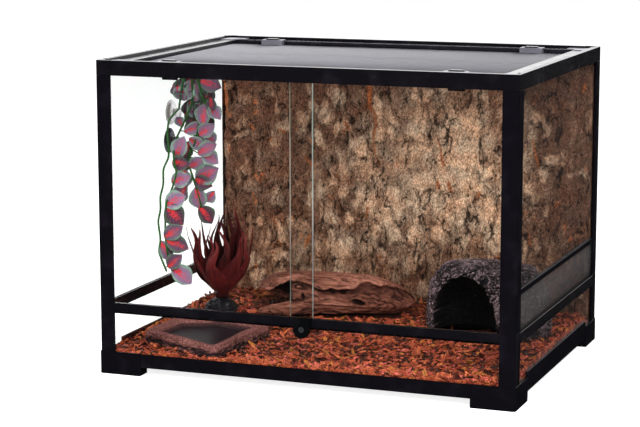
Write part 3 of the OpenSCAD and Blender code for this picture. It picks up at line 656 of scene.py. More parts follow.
barkSettings = {
    "cells": (350, 238),
    "warp": (10, 16),  # how far the cracks wander, in millimetres
    "cracks": {"wide": ((19, 60), 11, 0.052), "deep": ((9.5, 27), 21, 0.090), "thin": ((4.6, 13), 31, 0.13),
               "cross": ((14, 11), 41, 0.07)},  # size, seed, width
    "plate": (15.0, 27.0),
    "flake": (5.0, 10.0),
    "depth": 0.95,
    "paintedLightPatch": (62, 258, 160, 130),  # painted lamplight, in part paler bark: its middle and its reach, in millimetres
    "foot": (-60, 130, 120, 80),  # the second paler part, low on the left
    "paintedShadeRight": (190, 260),  # painted shade: where the tone falls off toward the right end, and the top rail's painted shadow toward the top
    "paintedShadowTop": (320, 400),
    "plates": [  # smooth pale plates: middle and half sizes
        (-90, 235, 11, 13), (-92, 208, 10, 10), (-23, 170, 13, 19), (26, 308, 19, 12), (32, 272, 19, 13),
        (39, 230, 19, 16), (21, 145, 9, 17), (-112, 161, 15, 12), (-96, 110, 17, 19), (59, 148, 12, 12),
        (105, 314, 24, 18), (103, 272, 22, 20), (141, 192, 10, 22), (-187, 222, 6, 10), (-100, 352, 15, 15),
        (104, 231, 16, 13), (-74, 255, 9, 9), (-161, 322, 10, 10), (-29, 111, 10, 15), (-273, 280, 5, 9),
        (172, 330, 16, 22), (180, 268, 18, 24), (178, 210, 14, 20), (-200, 100, 12, 14)],
    "rust": [[(-50, 385, 4.0), (-50, 340, 4.0), (-40, 331, 2.2), (-40, 310, 2.2), (-44, 277, 1.4), (-36, 250, 1.6)],
             [(-155, 259, 1.4), (-143, 243, 2.4)], [(58, 297, 1.6), (70, 256, 2.8)],
             [(61, 228, 3.4), (63, 220, 3.0)],
             [(78, 228, 2.8), (80, 214, 3.2)], [(124, 213, 2.6), (119, 203, 1.6)],
             [(-52, 185, 2.6), (-58, 167, 1.4)],
             [(-249, 303, 3.0), (-243, 297, 2.6)], [(-197, 296, 2.8), (-190, 293, 2.2)],
             [(-240, 226, 2.0), (-231, 215, 2.4)],
             [(-87, 312, 2.6), (-85, 303, 2.8)], [(-151, 132, 3.0), (-152, 121, 2.4)],
             [(-289, 372, 3.0), (-289, 325, 4.5)],
             [(-201, 126, 2.2), (-196, 117, 2.0)], [(-208, 160, 1.6), (-203, 148, 1.8)],
             [(-6, 256, 1.8), (-4, 248, 1.4)],
             [(-244, 194, 1.8), (-240, 185, 1.8)], [(205, 300, 1.6), (214, 262, 2.4)],
             [(196, 160, 1.4), (203, 141, 2.2)]],
    "creviceShade": (0.012, 0.007, 0.005),
    # scale, stretch, width, colour
    "splits": [(125.0, 0.36, 0.020, (0.42, 0.36, 0.33)), (290.0, 0.70, 0.034, (0.46, 0.41, 0.39))],
    "brown": (0.190, 0.092, 0.058),
    "cream": (0.900, 0.620, 0.430),
    "rustRed": (0.500, 0.160, 0.055),
}


def makeBark(s):
    # y = CAD face - depth x (cracks + flakes), a crack being where a warped fractal noise of (x, z) passes zero
    low, high = np.array(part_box("background_panel")) / mm
    cols, rows = s["cells"]
    x, z = np.meshgrid(np.linspace(low[0], high[0], cols), np.linspace(low[2], high[2], rows))
    p = np.stack([x, z], axis=-1)
    bend = np.stack([fractalNoise(p / (26, 34), 4, 3), fractalNoise(p / (24, 30), 4, 9)], axis=-1)
    q = p + bend * s["warp"]
    face = surfaceDepth(readSurface("background_panel", 0, 2), x + 5 * bend[..., 0], z + 6 * bend[..., 1])
    level = (face.max() - face) / np.ptp(face)
    wide, deep, thin, cross = (smoothStep(0, width, np.abs(fractalNoise(q / size, 3, seed)))
                               for size, seed, width in s["cracks"].values())
    near, far, plate = cellNoise(q / s["plate"], 61)
    step = smoothStep(0.0, 0.12, far - near)
    smooth = smoothStep(0.62, 0.80, plate) * smoothStep(0.05, 0.40, far - near)
    around = (p + bend * (6, 7))[..., None, :] - np.array(s["plates"], float)[:, :2]
    reach = np.linalg.norm(around / np.array(s["plates"], float)[:, 2:], axis=-1).min(axis=-1)
    smooth = np.maximum(0.75 * smooth, 1 - smoothStep(0.65, 1.1, reach))
    near, far, flake = cellNoise(q / s["flake"], 33)
    rim = smoothStep(0.02, 0.20, far - near)
    fine = fractalNoise(q / (2.0, 5.5), 3, 51)
    rough = 1 - 0.72 * smooth
    detail = (1.7 * wide + 1.1 * deep + 0.6 * thin * rough + 0.6 * cross + 1.2 * smooth
              + 0.7 * flake * rim * rough + 0.5 * fine)
    y = np.clip(face - s["depth"] * (detail - detail.mean()), low[1], high[1] - 8)
    points, faces = heightSlab(np.stack([x, y, z], axis=-1) * mm, (1, high[1] * mm))
    # painted shade: darker in the cracks, between the flakes, at the plates' edges and where the relief lies low
    shade = (1 - 0.84 * (1 - wide)) * (1 - 0.80 * (1 - deep) * (0.35 + 0.65 * rough))
    shade = shade * (1 - 0.5 * (1 - cross) * rough)
    shade = shade * (1 - 0.45 * (1 - thin) * rough) * (1 - 0.25 * (1 - rim) * rough)
    shade = shade * (0.72 + 0.28 * step) * (0.62 + 0.38 * level)
    # painted lamplight (in part paler bark) and a second paler part low on the left
    paintedLightPatch, foot = (np.exp(-(((x - cx) / rx) ** 2) - ((z - cz) / rz) ** 2) for cx, cz, rx, rz in (s["paintedLightPatch"], s["foot"]))
    broad = fractalNoise(p / (46, 62), 3, 55)
    tone = 0.05 + 0.68 * paintedLightPatch + 0.18 * foot + 0.20 * broad
    # painted shade toward the right end and the top rail's painted shadow toward the top
    tone = tone - 0.18 * smoothStep(*s["paintedShadeRight"], x) - 0.20 * smoothStep(*s["paintedShadowTop"], z)
    # the last term paints the high relief paler and the low relief darker: painted light and shade
    tone += 0.34 * smooth + 0.24 * (plate - 0.5) + 0.14 * (flake - 0.5) + 0.16 * fine + 0.22 * (level - 0.5)
    gap = np.min([lineGap(p + bend * 4, line) for line in s["rust"]], axis=0)
    rust = (1 - smoothStep(-1.4, 1.6, gap)) * (0.75 + 0.25 * fine)
    rust = np.maximum(rust, 0.7 * (flake > 0.965) * rim * (1 - paintedLightPatch))
    material, tree, shader, place = newMaterial("corkBark", {"Specular IOR Level": 0.25})
    grain = addGrain(tree, place, 460.0, 6.0, 2.4, stretch=(1.0, 1.0, 0.6), at=(-900, 200))
    tan = addTone(tree, addAttribute(tree, "tone"), s["brown"], s["cream"], 0.0, 1.0, at=(-700, 0))
    warm = addTone(tree, addAttribute(tree, "rust", at=(-1300, -600)), tan, s["rustRed"], 0.1, 0.9, at=(-500, 0))
    # near black where the shade attribute is low: the cracks' painted shade
    deep = addTone(tree, addAttribute(tree, "shade", at=(-1300, -800)), s["creviceShade"], warm, 0.0, 0.62, at=(-300, 0))
    fleck = addTone(tree, grain["Mask"], (0.60, 0.55, 0.52), (1.24, 1.24, 1.26), 0.2, 0.85, at=(-300, 300))
    splits = []
    for scale, stretch, width, dark in s["splits"]:  # fine dark cracks, where a noise passes its middle value
        hairs = addGrain(tree, place, scale, stretch=(1.0, 1.0, stretch), at=(-900, 500 + scale))["Height"]
        hair = addMath(tree, "ABSOLUTE", addMath(tree, "SUBTRACT", hairs, 0.5), at=(-500, 500 + scale))
        splits.append(addTone(tree, hair, dark, (1.0, 1.0, 1.0), 0.0, width, at=(-300, 500 + scale)))
    drift = addGrain(tree, place, 34.0, 4.0, 2.0, at=(-900, 800))["Mask"]
    hue = addTone(tree, drift, (1.07, 0.96, 0.86), (0.97, 1.03, 1.02), 0.2, 0.8, at=(-500, 800))
    cracked = multiply(tree, multiply(tree, *splits, (-120, 700)), hue, (-60, 500))
    colour = multiply(tree, multiply(tree, deep, fleck, (-120, 100)), cracked, (0, 200))
    joinSurface(tree, shader, colour, (grain["Mask"], 0.95, 0.7), (grain["Height"], 0.7, 0.0012))
    # and the wall's value
    values = {"shade": (shade, 0.8), "tone": (np.clip(tone, 0, 1), 0.45), "rust": (rust, 0.35)}
    values = {key: np.append(v, np.full(len(points) - v.size, rest)) for key, (v, rest) in values.items()}
    piece = makePiece("corkPanel", points, faces, [material], values=values)
    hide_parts("background_panel")


makeBark(barkSettings)
print("bark panel carved")


bedSurface = readSurface("substrate_bed", 0, 1)


logSettings = {
    "turn": 13.0,
    "length": 235.5,  # millimetres
    "width": 90.0,
    "middle": (-58.0, 72.0),
    "rows": 230,
    "around": 170,
    "groove": 3.6,
    "body": [(-1, 0.22, 0.33, 0.45, 0.76), (-0.8, 0.13, 0.71, 0.36, 0.91), (-0.5, 0.04, 0.93, 0.21, 0.98),
             (-0.25, 0, 1, 0, 1), (0.15, -0.04, 0.98, 0, 0.97), (0.5, 0, 0.89, 0, 0.88),
             (0.78, 0.07, 0.67, 0.03, 0.73), (1, 0.13, 0.27, 0.15, 0.45)],
    "tongues": [[(-0.98, -0.58, 0.2, 0, 0.14), (-0.75, -0.6, 0.36, 0, 0.26), (-0.45, -0.49, 0.49, 0, 0.39),
                 (-0.1, -0.27, 0.62, 0, 0.52)],
                [(-0.78, 0.57, 0.16, 0, 0.11), (-0.6, 0.58, 0.29, 0, 0.21), (-0.36, 0.55, 0.39, 0, 0.31),
                 (-0.08, 0.48, 0.5, 0, 0.42)]],
    "lip": [(-118, 36), (-91, 39), (-70, 51), (-54, 55), (-38, 50), (-13, 44), (17, 43), (32, 45), (42, 50),
            (63, 50), (92, 44), (118, 30)],
    # the top of the lower swell
    "foot": [(-118, 16), (-64, 20), (-50, 30), (-25, 27), (0, 23), (31, 17), (77, 16), (118, 10)],
    "recess": 13.0,
    "hollow": (-114, -62, 44.0),  # from, to and depth of the open end's hollow under the lip
    "eyes": [((38, 23), (11, 4.6), 15), ((-44, 30), (3.5, 9), 7)],  # (along, up), half sizes, depth
    # dark: the colour of the painted shade in grooves, under the lip and in the hollows
    "dark": (0.022, 0.009, 0.007),
    "wood": (0.160, 0.055, 0.036),
    "pale": (0.370, 0.153, 0.105),
}


chipSettings = {
    "count": 7600,
    "wallCount": 1900,
    "seed": 12,
    "length": (8.0, 25.0),  # millimetres
    "width": (2.8, 8.4),
    "inset": 3.0,  # how far the bed's own sides stand behind the chips along the panes
    "thick": (0.9, 2.4),
    "tilt": 22.0,  # degrees, spread of the chips' tilt
    # the pieces' plans that stay free of chips, and the hide's mouth that doesn't
    "bare": {"hide": 0.84, "mouth": (-20, 40, -12), "rock": 0.86, "log": (12, 88, 31), "dish": 3.0},
    "wallShares": (0.56, 0.16, 0.28),  # of the chips against the panes: front, left and right
    "wallFoot": 24,  # millimetres, where they begin
    # the colour of the painted shade between the chips
    "bedCells": (190, 134),
    "chipGapShade": (0.030, 0.009, 0.006),
    # painted shadows on the chips: under the log's overhang, in the hide's mouth and two softer ones further back;
    # middle, reach and strength
    "paintedShadows": [(-150, 120, 52, 62, 0.88), (166, 13, 46, 42, 0.85), (-225, 160, 70, 40, 0.55),
             (85, 150, 90, 45, 0.45)],
    "palette": [(0.425, 0.084, 0.030), (0.306, 0.055, 0.022), (0.560, 0.136, 0.052), (0.120, 0.022, 0.011),
                (0.600, 0.122, 0.085), (0.500, 0.170, 0.036), (0.050, 0.014, 0.008), (0.366, 0.056, 0.030)],
    "weights": [0.22, 0.18, 0.15, 0.14, 0.09, 0.05, 0.09, 0.08],
}


def planOf(box):  # the middle and the half sizes of a CAD box's plan, in millimetres
    low, high = np.array(box) / mm
    return (low + high)[:2] / 2, (high - low)[:2] / 2


dishShares = np.array([[0.0, 0.338], [0.889, 0.0], [1.0, 0.851], [0.458, 1.0], [0.027, 0.783]])
dishRound = 8  # millimetres, the radius of the plan's corners


def dishGap(x, y):  # how far a point is outside the dish's five-sided plan, by the nearest side's signed distance
    low, high = np.array(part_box("water_dish"))[:, :2] / mm
    corner = low + dishRound + (high - low - 2 * dishRound) * dishShares
    d = np.roll(corner, -1, axis=0) - corner
    gap = ((x[..., None] - corner[:, 0]) * d[:, 1] - (y[..., None] - corner[:, 1]) * d[:, 0]) / np.hypot(*d.T)
    return gap.max(axis=-1) - dishRound


def logPlan(x, y):  # a point's place along and across the log
    turn, (mx, my) = math.radians(logSettings["turn"]), logSettings["middle"]
    c, s = math.cos(turn), math.sin(turn)
    return c * (x - mx) + s * (y - my), -s * (x - mx) + c * (y - my)


def chipMesh(centre, turn, size, rng):  # five-cornered wedges: an outline a_k, b_k on two levels, turned and moved
    n = len(centre)
    angle = (np.arange(5) / 5 + rng.uniform(-0.06, 0.06, (n, 5))) * 2 * np.pi
    radius = rng.uniform(0.62, 1.0, (n, 5))
    plan = np.stack([np.cos(angle) * radius, np.sin(angle) * radius * 1.25], axis=-1)
    level = np.array([-0.5, 0.5])[None, :, None]
    taper = np.array([1.0, 0.82])[None, :, None, None]
    flat = plan[:, None] * taper * size[:, None, None, :2] / 2
    lean = 1 - 0.55 * (plan[:, None, :, 0] + 1) / 2 * rng.uniform(0, 1, (n, 1, 1))
    rise = (level * lean * size[:, 2, None, None])[..., None]
    local = np.concatenate([flat, rise], axis=-1).reshape(n, 10, 3)
    points = np.einsum("nij,nkj->nki", turn, local) + centre[:, None]
    k = np.arange(5)
    nxt = (k + 1) % 5
    quads = np.stack([k, nxt, nxt + 5, k + 5], axis=-1)
    caps = np.stack([k[::-1], k + 5])
    shift = np.arange(n)[:, None, None] * 10
    return points, [(shift + quads).reshape(-1, 4), (shift + caps).reshape(-1, 5)]


def turns(yaw, pitch, roll):  # rotation matrices Rz(yaw) Ry(pitch) Rx(roll), row by row
    cy, sy, cp, sp, cr, sr = np.cos(yaw), np.sin(yaw), np.cos(pitch), np.sin(pitch), np.cos(roll), np.sin(roll)
    cells = [cy * cp, cy * sp * sr - sy * cr, cy * sp * cr + sy * sr,
             sy * cp, sy * sp * sr + cy * cr, sy * sp * cr - cy * sr,
             -sp, cp * sr, cp * cr]
    return np.stack(cells, axis=-1).reshape(-1, 3, 3)


def chipSizes(s, rng, n):
    return np.stack([rng.uniform(*s[key], n) for key in ("length", "width", "thick")], axis=-1)


def layChips(s, rng, low, high):  # chips over the bed's surface, none where a piece stands
    n, bare = s["count"], s["bare"]
    x, y = rng.uniform(low[0] + 4, high[0] - 4, n), rng.uniform(low[1] + 4, high[1] - 3, n)
    hideAt, hideHalf = planOf(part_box("cave_hide"))
    rockAt, rockHalf = planOf(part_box("plant_rock"))
    mouthX, mouthHalf, mouthY = bare["mouth"]
    mouth = (np.abs(x - hideAt[0] - mouthX) < mouthHalf) & (y < hideAt[1] + mouthY)
    hide = ((x - hideAt[0]) / hideHalf[0]) ** 2 + ((y - hideAt[1]) / hideHalf[1]) ** 2 < bare["hide"]
    rock = np.hypot(x - rockAt[0], y - rockAt[1]) < bare["rock"] * rockHalf[0]
    along, across = logPlan(x, y)
    middle, reach, half = bare["log"]
    log = (np.abs(along - middle) < reach) & (np.abs(across) < half)
    keep = ~((hide & ~mouth) | rock | log | (dishGap(x, y) < bare["dish"]))
    x, y = x[keep], y[keep]
    n = len(x)
    size = chipSizes(s, rng, n)
    size[:, 0] *= rng.choice([0.6, 1.0, 1.25], n, p=[0.3, 0.55, 0.15])
    tilt = np.radians(s["tilt"])
    turn = turns(rng.uniform(0, 2 * np.pi, n), rng.normal(0, tilt, n), rng.normal(0, tilt * 1.2, n))
    z = surfaceDepth(bedSurface, x, y) + rng.uniform(-3.6, 0.9, n) + 3.0 * (1 - smoothStep(4, 24, dishGap(x, y)))
    return np.stack([x, y, z], axis=-1), turn, size


def standChips(s, rng, low, high):  # chips pressed against the panes, standing nearly upright
    n, foot = s["wallCount"], s["wallFoot"]
    side = rng.choice(3, n, p=s["wallShares"])
    run = rng.uniform(0, 1, n)
    x = np.where(side == 0, low[0] + run * (high[0] - low[0]), np.where(side == 1, low[0] + 2.2, high[0] - 2.2))
    y = np.where(side == 0, low[1] + 2.0, low[1] + run * (high[1] - low[1]))
    z = foot + rng.uniform(0, 1, n) * (surfaceDepth(bedSurface, x, y) - foot)
    yaw = np.where(side == 0, 0.0, np.pi / 2) + rng.normal(0, 0.12, n)
    turn = turns(yaw, rng.normal(0, 0.5, n), np.pi / 2 + rng.normal(0, 0.25, n))
    return np.stack([x, y, z], axis=-1), turn, chipSizes(s, rng, n)


def makeChips(s):
    rng = np.random.default_rng(s["seed"])
    low, high = np.array(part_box("substrate_bed")) / mm
    laid, standing = layChips(s, rng, low, high), standChips(s, rng, low, high)
    points, faces = chipMesh(*(np.concatenate(pair) for pair in zip(laid, standing)), rng)
    # a chip that pokes into a pane or the panel moves back
    lowest, highest = points.min(axis=1), points.max(axis=1)
    limits = np.array([[low[0] + 0.1, low[1] + 0.1, low[2] + 0.2], [high[0] - 0.1, high[1] - 0.1, 400]])
    points += (np.maximum(limits[0] - lowest, 0) - np.maximum(highest - limits[1], 0))[:, None]
    n = len(points)
    pick = rng.choice(len(s["palette"]), n, p=np.array(s["weights"]) / sum(s["weights"]))
    colour = np.array(s["palette"])[pick] * rng.uniform(0.75, 1.25, (n, 1))
    at = points.mean(axis=1)
    # painted shadow: the chips there are darkened
    for cx, cy, rx, ry, share in s["paintedShadows"]:
        colour *= 1 - share * np.exp(-(((at[:, :1] - cx) / rx) ** 4) - ((at[:, 1:2] - cy) / ry) ** 4)
    colour = np.repeat(colour[:, None], 10, axis=1)
    colour[:, 5:] *= 1.08
    material, tree, shader, place = newMaterial("barkChip")
    grain = addGrain(tree, place, 650.0, 5.0, 2.4, at=(-900, 200))
    fleck = addTone(tree, grain["Mask"], (0.45, 0.42, 0.40), (1.35, 1.35, 1.38), 0.15, 0.9)
    flecked = multiply(tree, addAttribute(tree, "chipColour", True), fleck)
    joinSurface(tree, shader, flecked, (grain["Mask"], 0.65, 0.42), (grain["Height"], 0.5, 0.0006))
    piece = makePiece("looseChips", points * mm, faces, [material], smooth=False, colours={"chipColour": colour})


def makeBed(s):  # a dark bed that shows between the chips as painted shade in their gaps: z = the CAD bed's surface, lowered a little, + fine noise
    low, high = np.array(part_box("substrate_bed")) / mm
    cols, rows = s["bedCells"]
    gap = s["inset"]
    x, y = np.meshgrid(np.linspace(low[0] + gap, high[0] - gap, cols),
                       np.linspace(low[1] + gap, high[1] - 0.1, rows))
    z = surfaceDepth(bedSurface, x, y) - 1.6 + 1.3 * fractalNoise(np.stack([x, y], axis=-1) / 9, 4, 15)
    points, faces = heightSlab(np.stack([x, y, z], axis=-1) * mm, (2, low[2] * mm))
    material, tree, shader, place = newMaterial("gapShadeBed", {"Roughness": 0.9})
    grain = addGrain(tree, place, 260.0, 6.0, 2.6, at=(-900, 200))
    colour = addTone(tree, grain["Mask"], s["chipGapShade"], tuple(4.2 * c for c in s["chipGapShade"]), 0.3, 0.9)
    joinSurface(tree, shader, colour, bump=(grain["Height"], 1.0, 0.003))
    piece = makePiece("chipBed", points, faces, [material])
    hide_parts("substrate_bed")


makeChips(chipSettings)
makeBed(chipSettings)
print("bark chips laid")


def woodTube(stations, reach, rows, around, groove, seed, s=None):
    # P(t, a) = middle(t) + (half width cos a, half height sin a), swollen and grooved along t by ridge noise
    station = np.array(stations, float) * reach
    t = np.linspace(station[0, 0], station[-1, 0], rows)
    shape = np.stack([np.interp(t, station[:, 0], station[:, k]) for k in (1, 2, 3, 4)], axis=-1)
    window = max(3, rows // 14) | 1
    padded = np.pad(shape, ((window // 2, window // 2), (0, 0)), mode="edge")
    shape = np.stack([np.convolve(padded[:, k], np.ones(window) / window, "valid") for k in range(4)], axis=-1)
    share = np.linspace(-1, 1, rows)
    closing = np.clip(1 - np.abs(share) ** 18, 0, 1) ** 0.5
    a = roundAngles(around)
    middle, half = (shape[:, 2] + shape[:, 3]) / 2, (shape[:, 3] - shape[:, 2]) / 2
    wide, tall = (shape[:, 1] * closing)[:, None], (half * closing)[:, None]
    cosA, sinA = np.sign(np.cos(a)) * np.abs(np.cos(a)) ** 0.85, np.sign(np.sin(a)) * np.abs(np.sin(a)) ** 0.85
    b, z = shape[:, :1] + wide * cosA, middle[:, None] + tall * sinA
    along = np.repeat(t[:, None], around, axis=1)
    p = np.stack([along, b, z], axis=-1)
    drift = [fractalNoise(p / (60, 34, 34), 3, seed + k) for k in (1, 2)]
    drift = np.stack([0 * along, *drift], axis=-1)
    q = (p + drift * 26) / (110, 12, 12)
    cut = 1 - smoothStep(0.0, 0.13, np.abs(fractalNoise(q, 3, seed + 3, 0.45)))
    flow = fractalNoise(q * (1, 1.6, 1.6), 3, seed + 7)
    swell = fractalNoise(p / (48, 26, 26), 3, seed + 4)
    fine = fractalNoise((p + drift * 14) / (34, 2.4, 2.4), 3, seed + 5)
    lift = groove * (0.7 * swell + 0.8 * flow + 0.22 * fine - 1.0 * cut) - 0.4 * groove
    lift = lift * np.minimum(closing, 1)[:, None]
    outward = np.stack([0 * along, cosA * tall + 0 * b, sinA * wide + 0 * b], axis=-1)
    outward /= np.maximum(np.linalg.norm(outward, axis=-1, keepdims=True), 1e-6)
    # painted shade in the grooves
    shade = 1 - 0.8 * cut + 0.3 * fine + 0.35 * flow
    tone = np.clip(0.42 + 0.5 * swell + 0.45 * fine + 0.4 * flow, 0, 1)
    inward = np.zeros_like(along)
    if s:
        front = 1 - smoothStep(-0.45, 0.1, cosA + 0 * along)
        lip, foot = (np.interp(along, *np.array(s[key], float).T) for key in ("lip", "foot"))
        wander = fractalNoise(p[..., :1] / 16, 3, seed + 6)
        down = (lip + 3.0 * wander - z) / (lip - foot)
        under = smoothStep(0.0, 0.13, down) * (1 - smoothStep(0.2, 1.1, down))
        start, stop, deep = s["hollow"]
        opening = smoothStep(start - 8, start + 4, along) * (1 - smoothStep(stop - 10, stop + 4, along))
        cave = opening * smoothStep(0.0, 0.12, down) * (1 - smoothStep(1.0, 1.5, down))
        hole = np.zeros_like(along)
        for (ea, ez), (ha, hz), depth in s["eyes"]:
            within = 1 - smoothStep(0.45, 1.2, np.hypot((along - ea) / ha, (z - ez + 0.25 * (along - ea)) / hz))
            hole = np.maximum(hole, within * depth)
        inward = front * np.maximum(s["recess"] * under, np.maximum(deep * cave, hole))
        inward = np.minimum(inward, 1.7 * wide)
        # the lip's edge painted paler as a painted highlight; painted shade under the lip, in the open end's hollow
        # and in the eye holes
        edge = front * smoothStep(-0.32, -0.05, down) * (1 - smoothStep(0.0, 0.06, down))
        lift += 2.2 * edge
        near = front * smoothStep(0.02, 0.14, down) * (1 - smoothStep(0.15, 0.75, down))
        shade = shade * (1 - 0.62 * near) * (1 - 0.97 * front * cave) * (1 - 0.97 * front * np.clip(hole / 7, 0, 1))
        tone = np.clip(tone + 0.35 * edge - 0.25 * near, 0, 1)
    p = p + outward * lift[..., None]
    p[..., 1] += inward
    p[..., 2] = np.maximum(p[..., 2], 0.0)
    return withPoles(p), tubeFaces(rows, around), np.clip(shade, 0, 1), tone


def makeLog(s):
    low, high = np.array(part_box("driftwood_log")) / mm
    turn = math.radians(s["turn"])
    length, height, width = s["length"], high[2] - low[2], s["width"]
    reach = np.array([length / 2, width / 2, width / 2, height, height])
    parts = [woodTube(s["body"], reach, s["rows"], s["around"], s["groove"], 101, s)]
    for k, tongue in enumerate(s["tongues"]):
        parts.append(woodTube(tongue, reach, s["rows"] // 3, s["around"] // 2, 0.8 * s["groove"], 131 + 20 * k))
    faces, start = [], 0
    for points, partFaces, _, _ in parts:
        faces += [face + start for face in partFaces]
        start += len(points)
    p = np.concatenate([part[0] for part in parts])
    x = s["middle"][0] + math.cos(turn) * p[:, 0] - math.sin(turn) * p[:, 1]
    y = s["middle"][1] + math.sin(turn) * p[:, 0] + math.cos(turn) * p[:, 1]
    material, tree, shader, place = newMaterial("driftWood", {"Specular IOR Level": 0.35})
    grain = addGrain(tree, place, 300.0, 6.0, 2.0, stretch=(0.16, 1.0, 1.0), at=(-900, 200))
    tan = addTone(tree, addAttribute(tree, "tone"), s["wood"], s["pale"], 0.2, 0.95, at=(-700, 0))
    deep = addTone(tree, addAttribute(tree, "shade", at=(-1300, -600)), s["dark"], tan, 0.0, 0.8, at=(-500, 0))
    fleck = addTone(tree, grain["Mask"], (0.60, 0.55, 0.52), (1.25, 1.22, 1.2), 0.2, 0.8, at=(-500, 300))
    joinSurface(tree, shader, multiply(tree, deep, fleck), (grain["Mask"], 0.8, 0.55),
                (grain["Height"], 0.5, 0.0008))
    values = {}
    for k, key in ((2, "shade"), (3, "tone")):
        values[key] = np.concatenate([poleValues(part[k]) for part in parts])
    points = np.stack([x, y, p[:, 2] + low[2]], axis=-1) * mm
    piece = makePiece("driftwoodBody", points, faces, [material], values=values)
    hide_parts("driftwood_log")


makeLog(logSettings)
print("driftwood grooved")


rockSettings = {
    "hide": {"rows": 180, "around": 400, "rough": 3.0, "cell": 4.0, "mouth": (-20.0, 48.0, 86.0), "cavity": 88.0,
             "square": 3.4, "tall": 0.91, "seed": 201, "grain": 480.0, "gloss": (0.85, 0.5),
             "dark": (0.007, 0.006, 0.007), "stone": (0.120, 0.090, 0.088), "fleck": (0.520, 0.350, 0.370)},
    "base": {"rows": 40, "around": 110, "rough": 3.0, "cell": 7.0, "square": 2.4, "tall": 1.0,
             "seed": 231, "grain": 300.0, "gloss": (0.6, 0.3),
             "dark": (0.006, 0.006, 0.007), "stone": (0.022, 0.022, 0.025), "fleck": (0.075, 0.073, 0.080)},
    "dish": {"around": 360, "rim": 17.0, "dark": (0.018, 0.011, 0.012), "stone": (0.150, 0.053, 0.046),
             "pale": (0.400, 0.175, 0.155), "basin": (0.017, 0.011, 0.014)},
}


def rockMaterial(name, s):
    material, tree, shader, place = newMaterial(name, {"Specular IOR Level": 0.4})
    grain = addGrain(tree, place, s["grain"], 6.0, 2.6, at=(-900, 300))
    spots = addGrain(tree, place, s["grain"] * 0.35, 4.0, 2.4, at=(-900, 0))
    stone = addTone(tree, grain["Mask"], s["stone"], s["fleck"], 0.45, 0.95, at=(-650, 200))
    patch = addTone(tree, spots["Mask"], (0.55, 0.53, 0.55), (1.2, 1.15, 1.2), 0.3, 0.75, at=(-650, 0))
    stone = multiply(tree, stone, patch, (-450, 100))
    deep = addTone(tree, addAttribute(tree, "shade"), s["dark"], stone, 0.0, 0.85, at=(-250, 0))
    joinSurface(tree, shader, deep, (grain["Mask"], *s["gloss"]), (grain["Height"], 0.9, 0.0016))
    return material


def makeDome(name, node, material, s):
    # P(k, a) = (ring(k) rx cos a, ring(k) ry sin a, h k), with ring = (1 - (0.985 k)^e)^(1/e), roughened
    low, high = np.array(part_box(node)) / mm
    rows, around, seed = s["rows"], s["around"], s["seed"]
    middle, height, e = (low + high) / 2, (high[2] - low[2]) * s["tall"], s["square"]
    rx, ry = ((high - low) / 2)[:2] * 0.965
    k = np.linspace(0, 1, rows)[:, None] ** 0.9
    a = roundAngles(around)[None]
    ring = (1 - (k * 0.985) ** e) ** (1 / e) * np.where(k > 0.93, np.sqrt(np.clip((1 - k) / 0.07, 0, 1)), 1)
    x, y, z = rx * ring * np.cos(a), ry * ring * np.sin(a), height * k + 0 * a
    p = np.stack([x, y, z], axis=-1)
    lump = fractalNoise(p / 30, 3, seed)
    near, far, label = cellNoise(p / s["cell"] + 0.9 * fractalNoise(p / 7, 3, seed + 5)[..., None], seed + 1)
    pit = (1 - smoothStep(0.0, 0.45, far - near)) * smoothStep(-0.5, 0.3, fractalNoise(p / 16, 2, seed + 7))
    fine = fractalNoise(p / 2.6, 3, seed + 2)
    lift = s["rough"] * (1.1 * lump + 0.7 * (label - 0.5) - 0.6 * pit + 0.5 * fine)
    outward = np.stack([x / rx**2, y / ry**2, z / height**2 * 0.8], axis=-1)
    outward = unit(outward)
    shade = np.clip(0.62 + 0.35 * lump - 0.75 * pit + 0.55 * fine + 0.5 * (label - 0.5), 0, 1)
    p = p + outward * (lift - 0.3 * s["rough"])[..., None]
    if "mouth" in s:
        cx, half, tall = s["mouth"]  # an arch cut into the front: x within half of cx below an elliptic top
        front = p[..., 1] < 0
        edge = 1 + 0.09 * fractalNoise(p / 16, 4, seed + 8, 0.7)
        rise = np.clip(p[..., 2] - 0.28 * tall, 0, None)
        inside = np.hypot((p[..., 0] - cx) / (half * edge), rise / (0.72 * tall * edge))
        within = (1 - smoothStep(0.93, 1.0, inside)) * front
        back = s["cavity"] * np.sqrt(np.clip(1 - 0.75 * inside**2, 0, 1))
        p[..., 1] += within * back
        # painted shade inside the mouth, and a painted highlight on the rock just around it
        mouthShade = np.where(front, smoothStep(0.97, 1.03, inside), 1)
        shade = np.clip(shade * mouthShade * (1 + 0.25 * (1 - smoothStep(1.0, 1.35, inside)) * front), 0, 1)
    p[..., 2] = np.maximum(p[..., 2], 0.0)
    p[0, :, 2] = 0.0
    points = withPoles(p)
    points[:, :2] += middle[:2]
    points[:, 2] += low[2]
    values = {"shade": np.append(shade, [0.3, 0.7])}
    piece = makePiece(name, points * mm, tubeFaces(rows, around), [material], values=values)
    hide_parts(node)


for key, name, node, slot, stone in (("hide", "hideRock", "cave_hide", "hide_rock", "hideStone"),
                                     ("base", "plantBase", "plant_rock", "plant_base_rock", "baseStone")):
    makeDome(name, node, rockMaterial(stone, rockSettings[key]), rockSettings[key])


